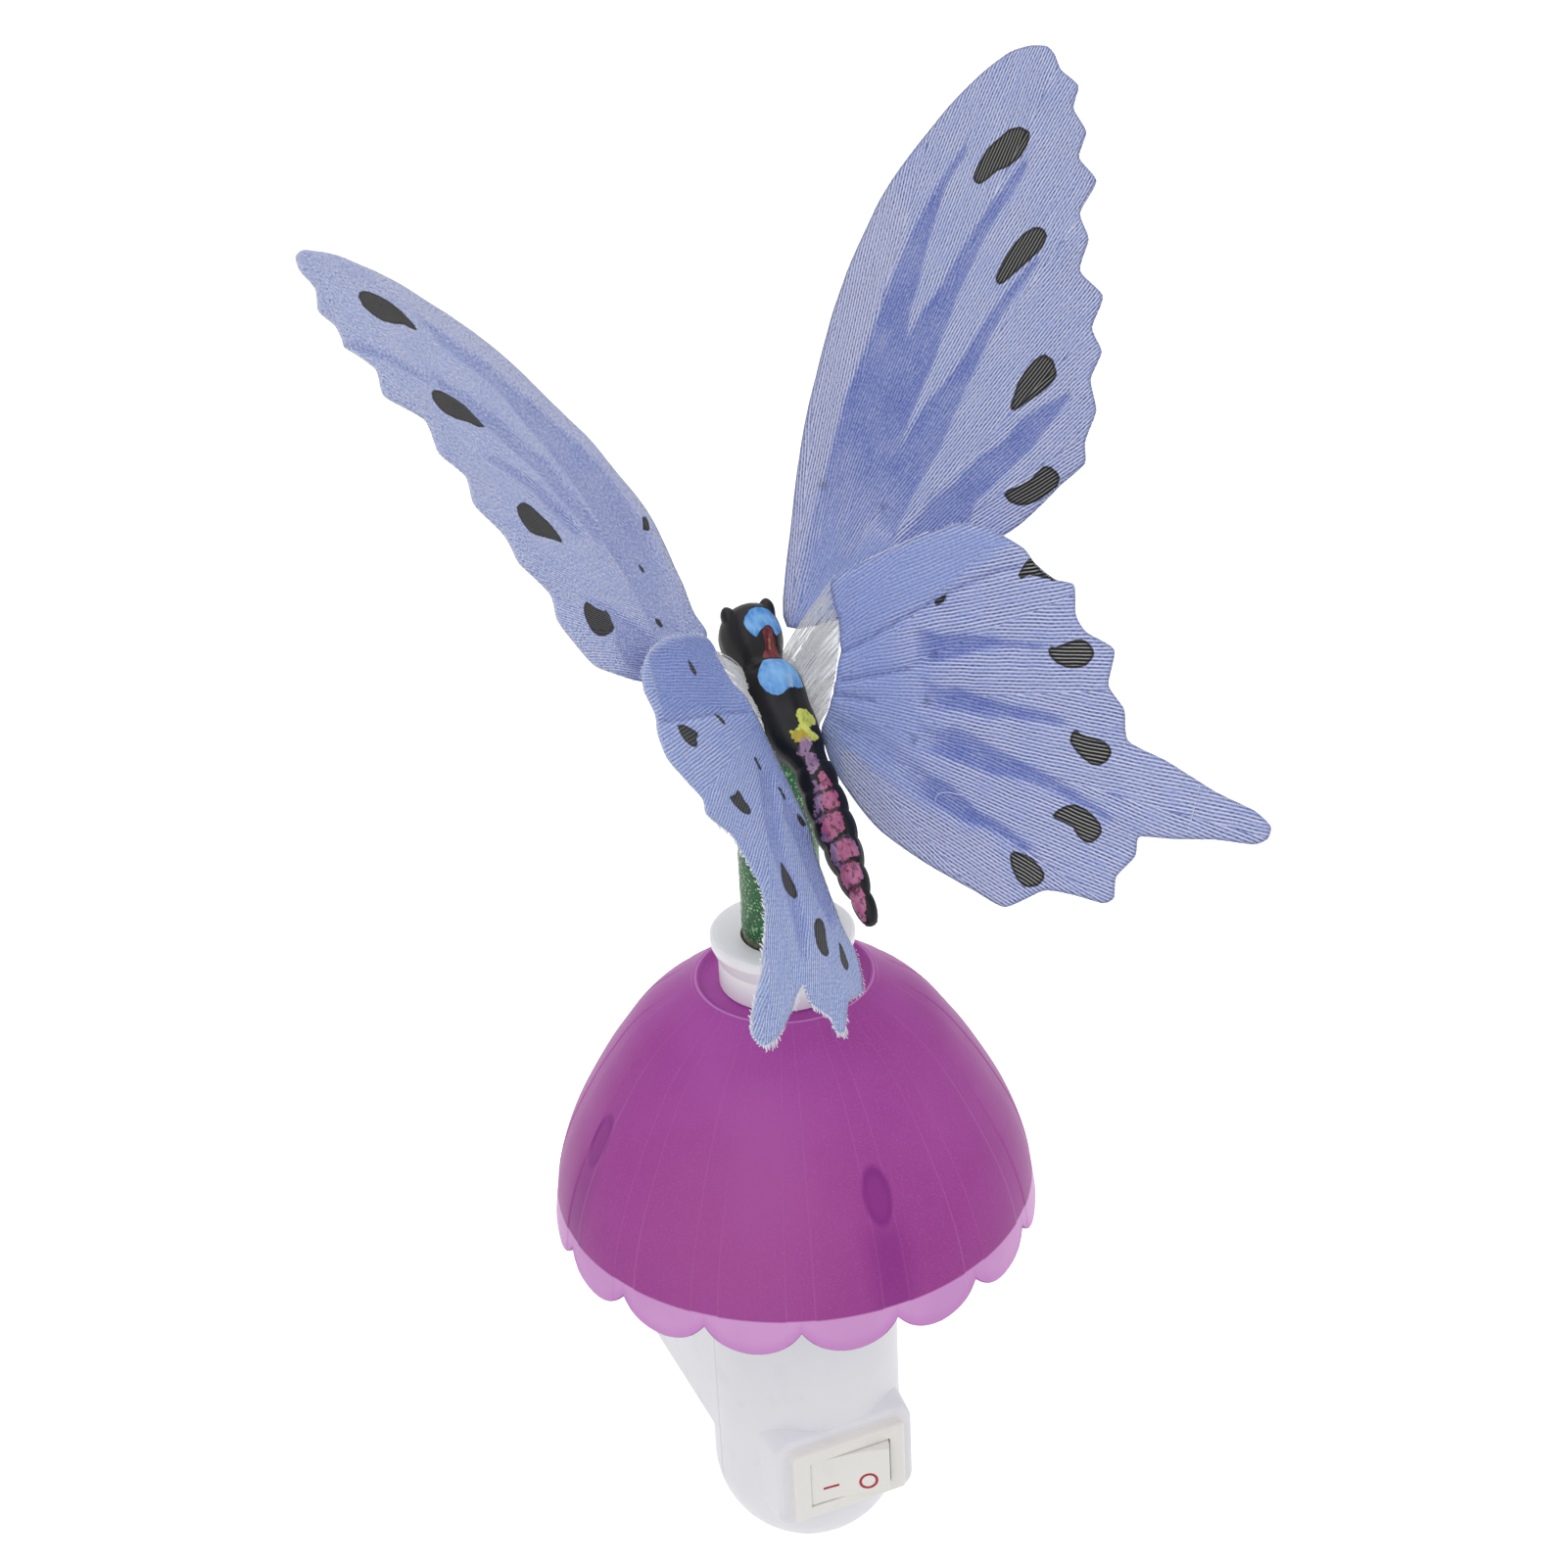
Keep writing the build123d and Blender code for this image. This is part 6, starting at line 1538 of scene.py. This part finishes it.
def at_share(line, share):
    """The point of a polyline at a share of its length."""
    line = np.array(line, float)
    lengths = np.concatenate([[0], np.cumsum(np.linalg.norm(np.diff(line, axis=0), axis=1))])
    return np.array([np.interp(share * lengths[-1], lengths, line[:, axis]) for axis in (0, 1)])


def fan_point(wing, fan, share, out, rise=0.0):
    """A point of a fan: share goes across its fibres and out from the body (0) to the wing (1)."""
    u, v = at_share(fan["roots"], share) * (1 - out) + at_share(fan["ends"], share) * out
    near = min(out, 1.0)
    arch = FAN_ARCH * math.sin(math.pi * near) - FAN_SAG * out - fan["drop"] * (1 - near) ** 2
    return on_wing(wing, u, v, arch + rise)


print("fibres:", {name: fan["fibres"] for name, fan in FANS.items()})

# %% Fans: material and meshes
fibre_material, sheet, shader = new_material("silky_fibre")
grain = sheet.noise(sheet.stored("silk", "Vector"), 1.0, 3.0, (70.0, 1.6, 1.0))
dress(sheet, shader, sheet.mix(grain.step(0.3, 0.65), screen(150, 150, 154), screen(255, 255, 255)),
      grain.step(0.3, 0.7, 0.22, 0.42), grain, 0.08, Emission_Strength=0.24)
glow = sheet.mix(grain.step(0.35, 0.6), screen(120, 122, 130), screen(255, 255, 255))
sheet.feed(shader.inputs["Emission Color"], glow)

# the faces of the film are the same for every fan: front, back and the rim between them
wide, layer_size = FILM_COLUMNS + 1, (FILM_ROWS + 1) * (FILM_COLUMNS + 1)
rim = list(range(wide)) + [row * wide + FILM_COLUMNS for row in range(1, FILM_ROWS + 1)]
rim += [FILM_ROWS * wide + column for column in range(FILM_COLUMNS - 1, -1, -1)]
rim += [row * wide for row in range(FILM_ROWS - 1, 0, -1)]
film_faces = []
for face in grid_faces(FILM_ROWS + 1, wide, closed=False):
    film_faces += [face, tuple(i + layer_size for i in face[::-1])]
film_faces += [(b, a, a + layer_size, b + layer_size) for a, b in zip(rim, rim[1:] + rim[:1])]
for name, fan in FANS.items():
    wing = WINGS[name]
    draws = random.Random(len(name))
    points, silk = [], []
    # the film has a front and a back, joined around the edge
    for layer in (FILM_HALF, -FILM_HALF):
        for row in range(FILM_ROWS + 1):
            for column in range(FILM_COLUMNS + 1):
                share, out = fan["film"] * column / FILM_COLUMNS, FILM_REACH * row / FILM_ROWS
                ripple = FILM_RIPPLE * noise.noise(Vector((share * RIPPLES_ACROSS, out * RIPPLES_ALONG, 5.0)))
                ripple *= math.sin(math.pi * min(out, 1) * 0.5)
                points.append(fan_point(wing, fan, share, out, ripple + layer))
                silk.append((share, out, 0.0))
    parts = [(points, film_faces)]
    for fibre in range(fan["fibres"]):
        share = min(max((fibre + draws.uniform(-FIBRE_SHIFT, FIBRE_SHIFT)) / (fan["fibres"] - 1), 0.0), 1.0)
        drift, rise = draws.uniform(-FIBRE_DRIFT, FIBRE_DRIFT), draws.uniform(0.0, FIBRE_RISE)
        reach = draws.uniform(*FIBRE_REACH)
        line = []
        for step in range(FIBRE_STEPS + 1):
            out = reach * step / FIBRE_STEPS
            drifted = min(max(share + drift * math.sin(2.4 * out), 0), 1)
            line.append(fan_point(wing, fan, drifted, out, rise * math.sin(math.pi * min(out, 1))))
        parts.append(rod(line, FIBRE_RADIUS, 4, FIBRE_TIP))
    points, faces = joined(parts)
    silk += [(draws.random(), 0.5, 0.0) for _ in points[len(silk):]]
    piece = mesh_piece(name + "_fibre_fan", points, faces)
    store(piece, "silk", silk)
    hand_over(piece, fibre_material, instead_of=(name + "_fibres",))
    print(name, "fan:", fan["fibres"], "fibres,", len(points), "points")

# %% [markdown]
# ## Marks on the rocker
# A short line and a ring are printed in red on the rocker: on and off. A print is thin, but it
# has a thickness, so each mark is a narrow ribbon that stands a few hundredths of a millimetre
# proud of the curved face. It rides on the rocker's body, so it tilts with the rocker.

# %% Rocker marks
ROCKER_PIVOT = Vector((0.0, -43.1, SWITCH_Z))
ROCKER_REST = math.radians(-10.0)
FACE_DISTANCE, FACE_HOLLOW, FACE_HALF_WIDTH = 1.55, 0.45, 5
# across and proud of the face, from one edge of a ribbon to the other
MARK_HALF_WIDTH = 0.19
MARK_SECTION = ((1, -0.02), (0.85, 0.03), (-0.85, 0.03), (-1, -0.02))
LINE_START, LINE_LENGTH, LINE_Z = -3.42, 2.04, -1.2
RING_CENTRE, RING_RADII = (2.36, -1.5), (1.03, 1.05)


def on_rocker(s, z, proud):
    """A place on the rocker's hollow face: s across it and z up, from the pivot."""
    y = -(FACE_DISTANCE + FACE_HOLLOW * (s / FACE_HALF_WIDTH) ** 2) - proud
    cos, sin = math.cos(ROCKER_REST), math.sin(ROCKER_REST)
    return ROCKER_PIVOT + Vector((s * cos - y * sin, s * sin + y * cos, z))


def ribbon(line, closed):
    """A raised ribbon along a line of (s, z) points on the rocker."""
    points, count = [], len(line)
    for i, (s, z) in enumerate(line):
        before = line[(i - 1) % count] if closed else line[max(i - 1, 0)]
        after = line[(i + 1) % count] if closed else line[min(i + 1, count - 1)]
        along = (Vector(after) - Vector(before)).normalized()
        normal = Vector((-along.y, along.x)) * MARK_HALF_WIDTH
        points += [on_rocker(s + normal.x * side, z + normal.y * side, proud) for side, proud in MARK_SECTION]
    faces = grid_faces(count, 4)
    last = len(points) - 4
    if closed:
        faces += [(last + k, last + (k + 1) % 4, (k + 1) % 4, k) for k in range(4)]
    else:
        faces += [(0, 1, 2, 3), (last + 3, last + 2, last + 1, last)]
    return points, faces


mark_red, sheet, shader = new_material("mark_red")
wear = sheet.noise(sheet.place(), 5200.0, 3.0)
dress(sheet, shader, sheet.mix(wear.step(0.6, 0.85), screen(172, 22, 46), screen(204, 96, 108)),
      wear.step(0.3, 0.7, 0.4, 0.55))
on_line = [(LINE_START + LINE_LENGTH * i / 10, LINE_Z) for i in range(11)]
off_ring = [(RING_CENTRE[0] + RING_RADII[0] * math.cos(a), RING_CENTRE[1] + RING_RADII[1] * math.sin(a))
            for a in around(48)]
hand_over(mesh_piece("on_mark", *ribbon(on_line, False)), mark_red, body="rocker")
hand_over(mesh_piece("off_mark", *ribbon(off_ring, True)), mark_red, body="rocker")
print("marks ride on the rocker")

# %% [markdown]
# ## Finishes for what stays from the CAD
# Every CAD node that still shows gets the finish of its slot from the table above.

# %% Materials on CAD nodes
slot_of_node = {entry["node"]: entry["material_slot"] for entry in frame["record"]["subparts"]}
dressed = []
for node_name, node in frame["nodes"].items():
    slot_name = slot_of_node.get(node_name)
    if slot_name in FINISHES:
        node.data.materials.clear()
        node.data.materials.append(FINISHES[slot_name])
        dressed.append(node_name)
print("dressed CAD nodes:", len(dressed), "left:", sorted(set(frame["nodes"]) - set(dressed)))
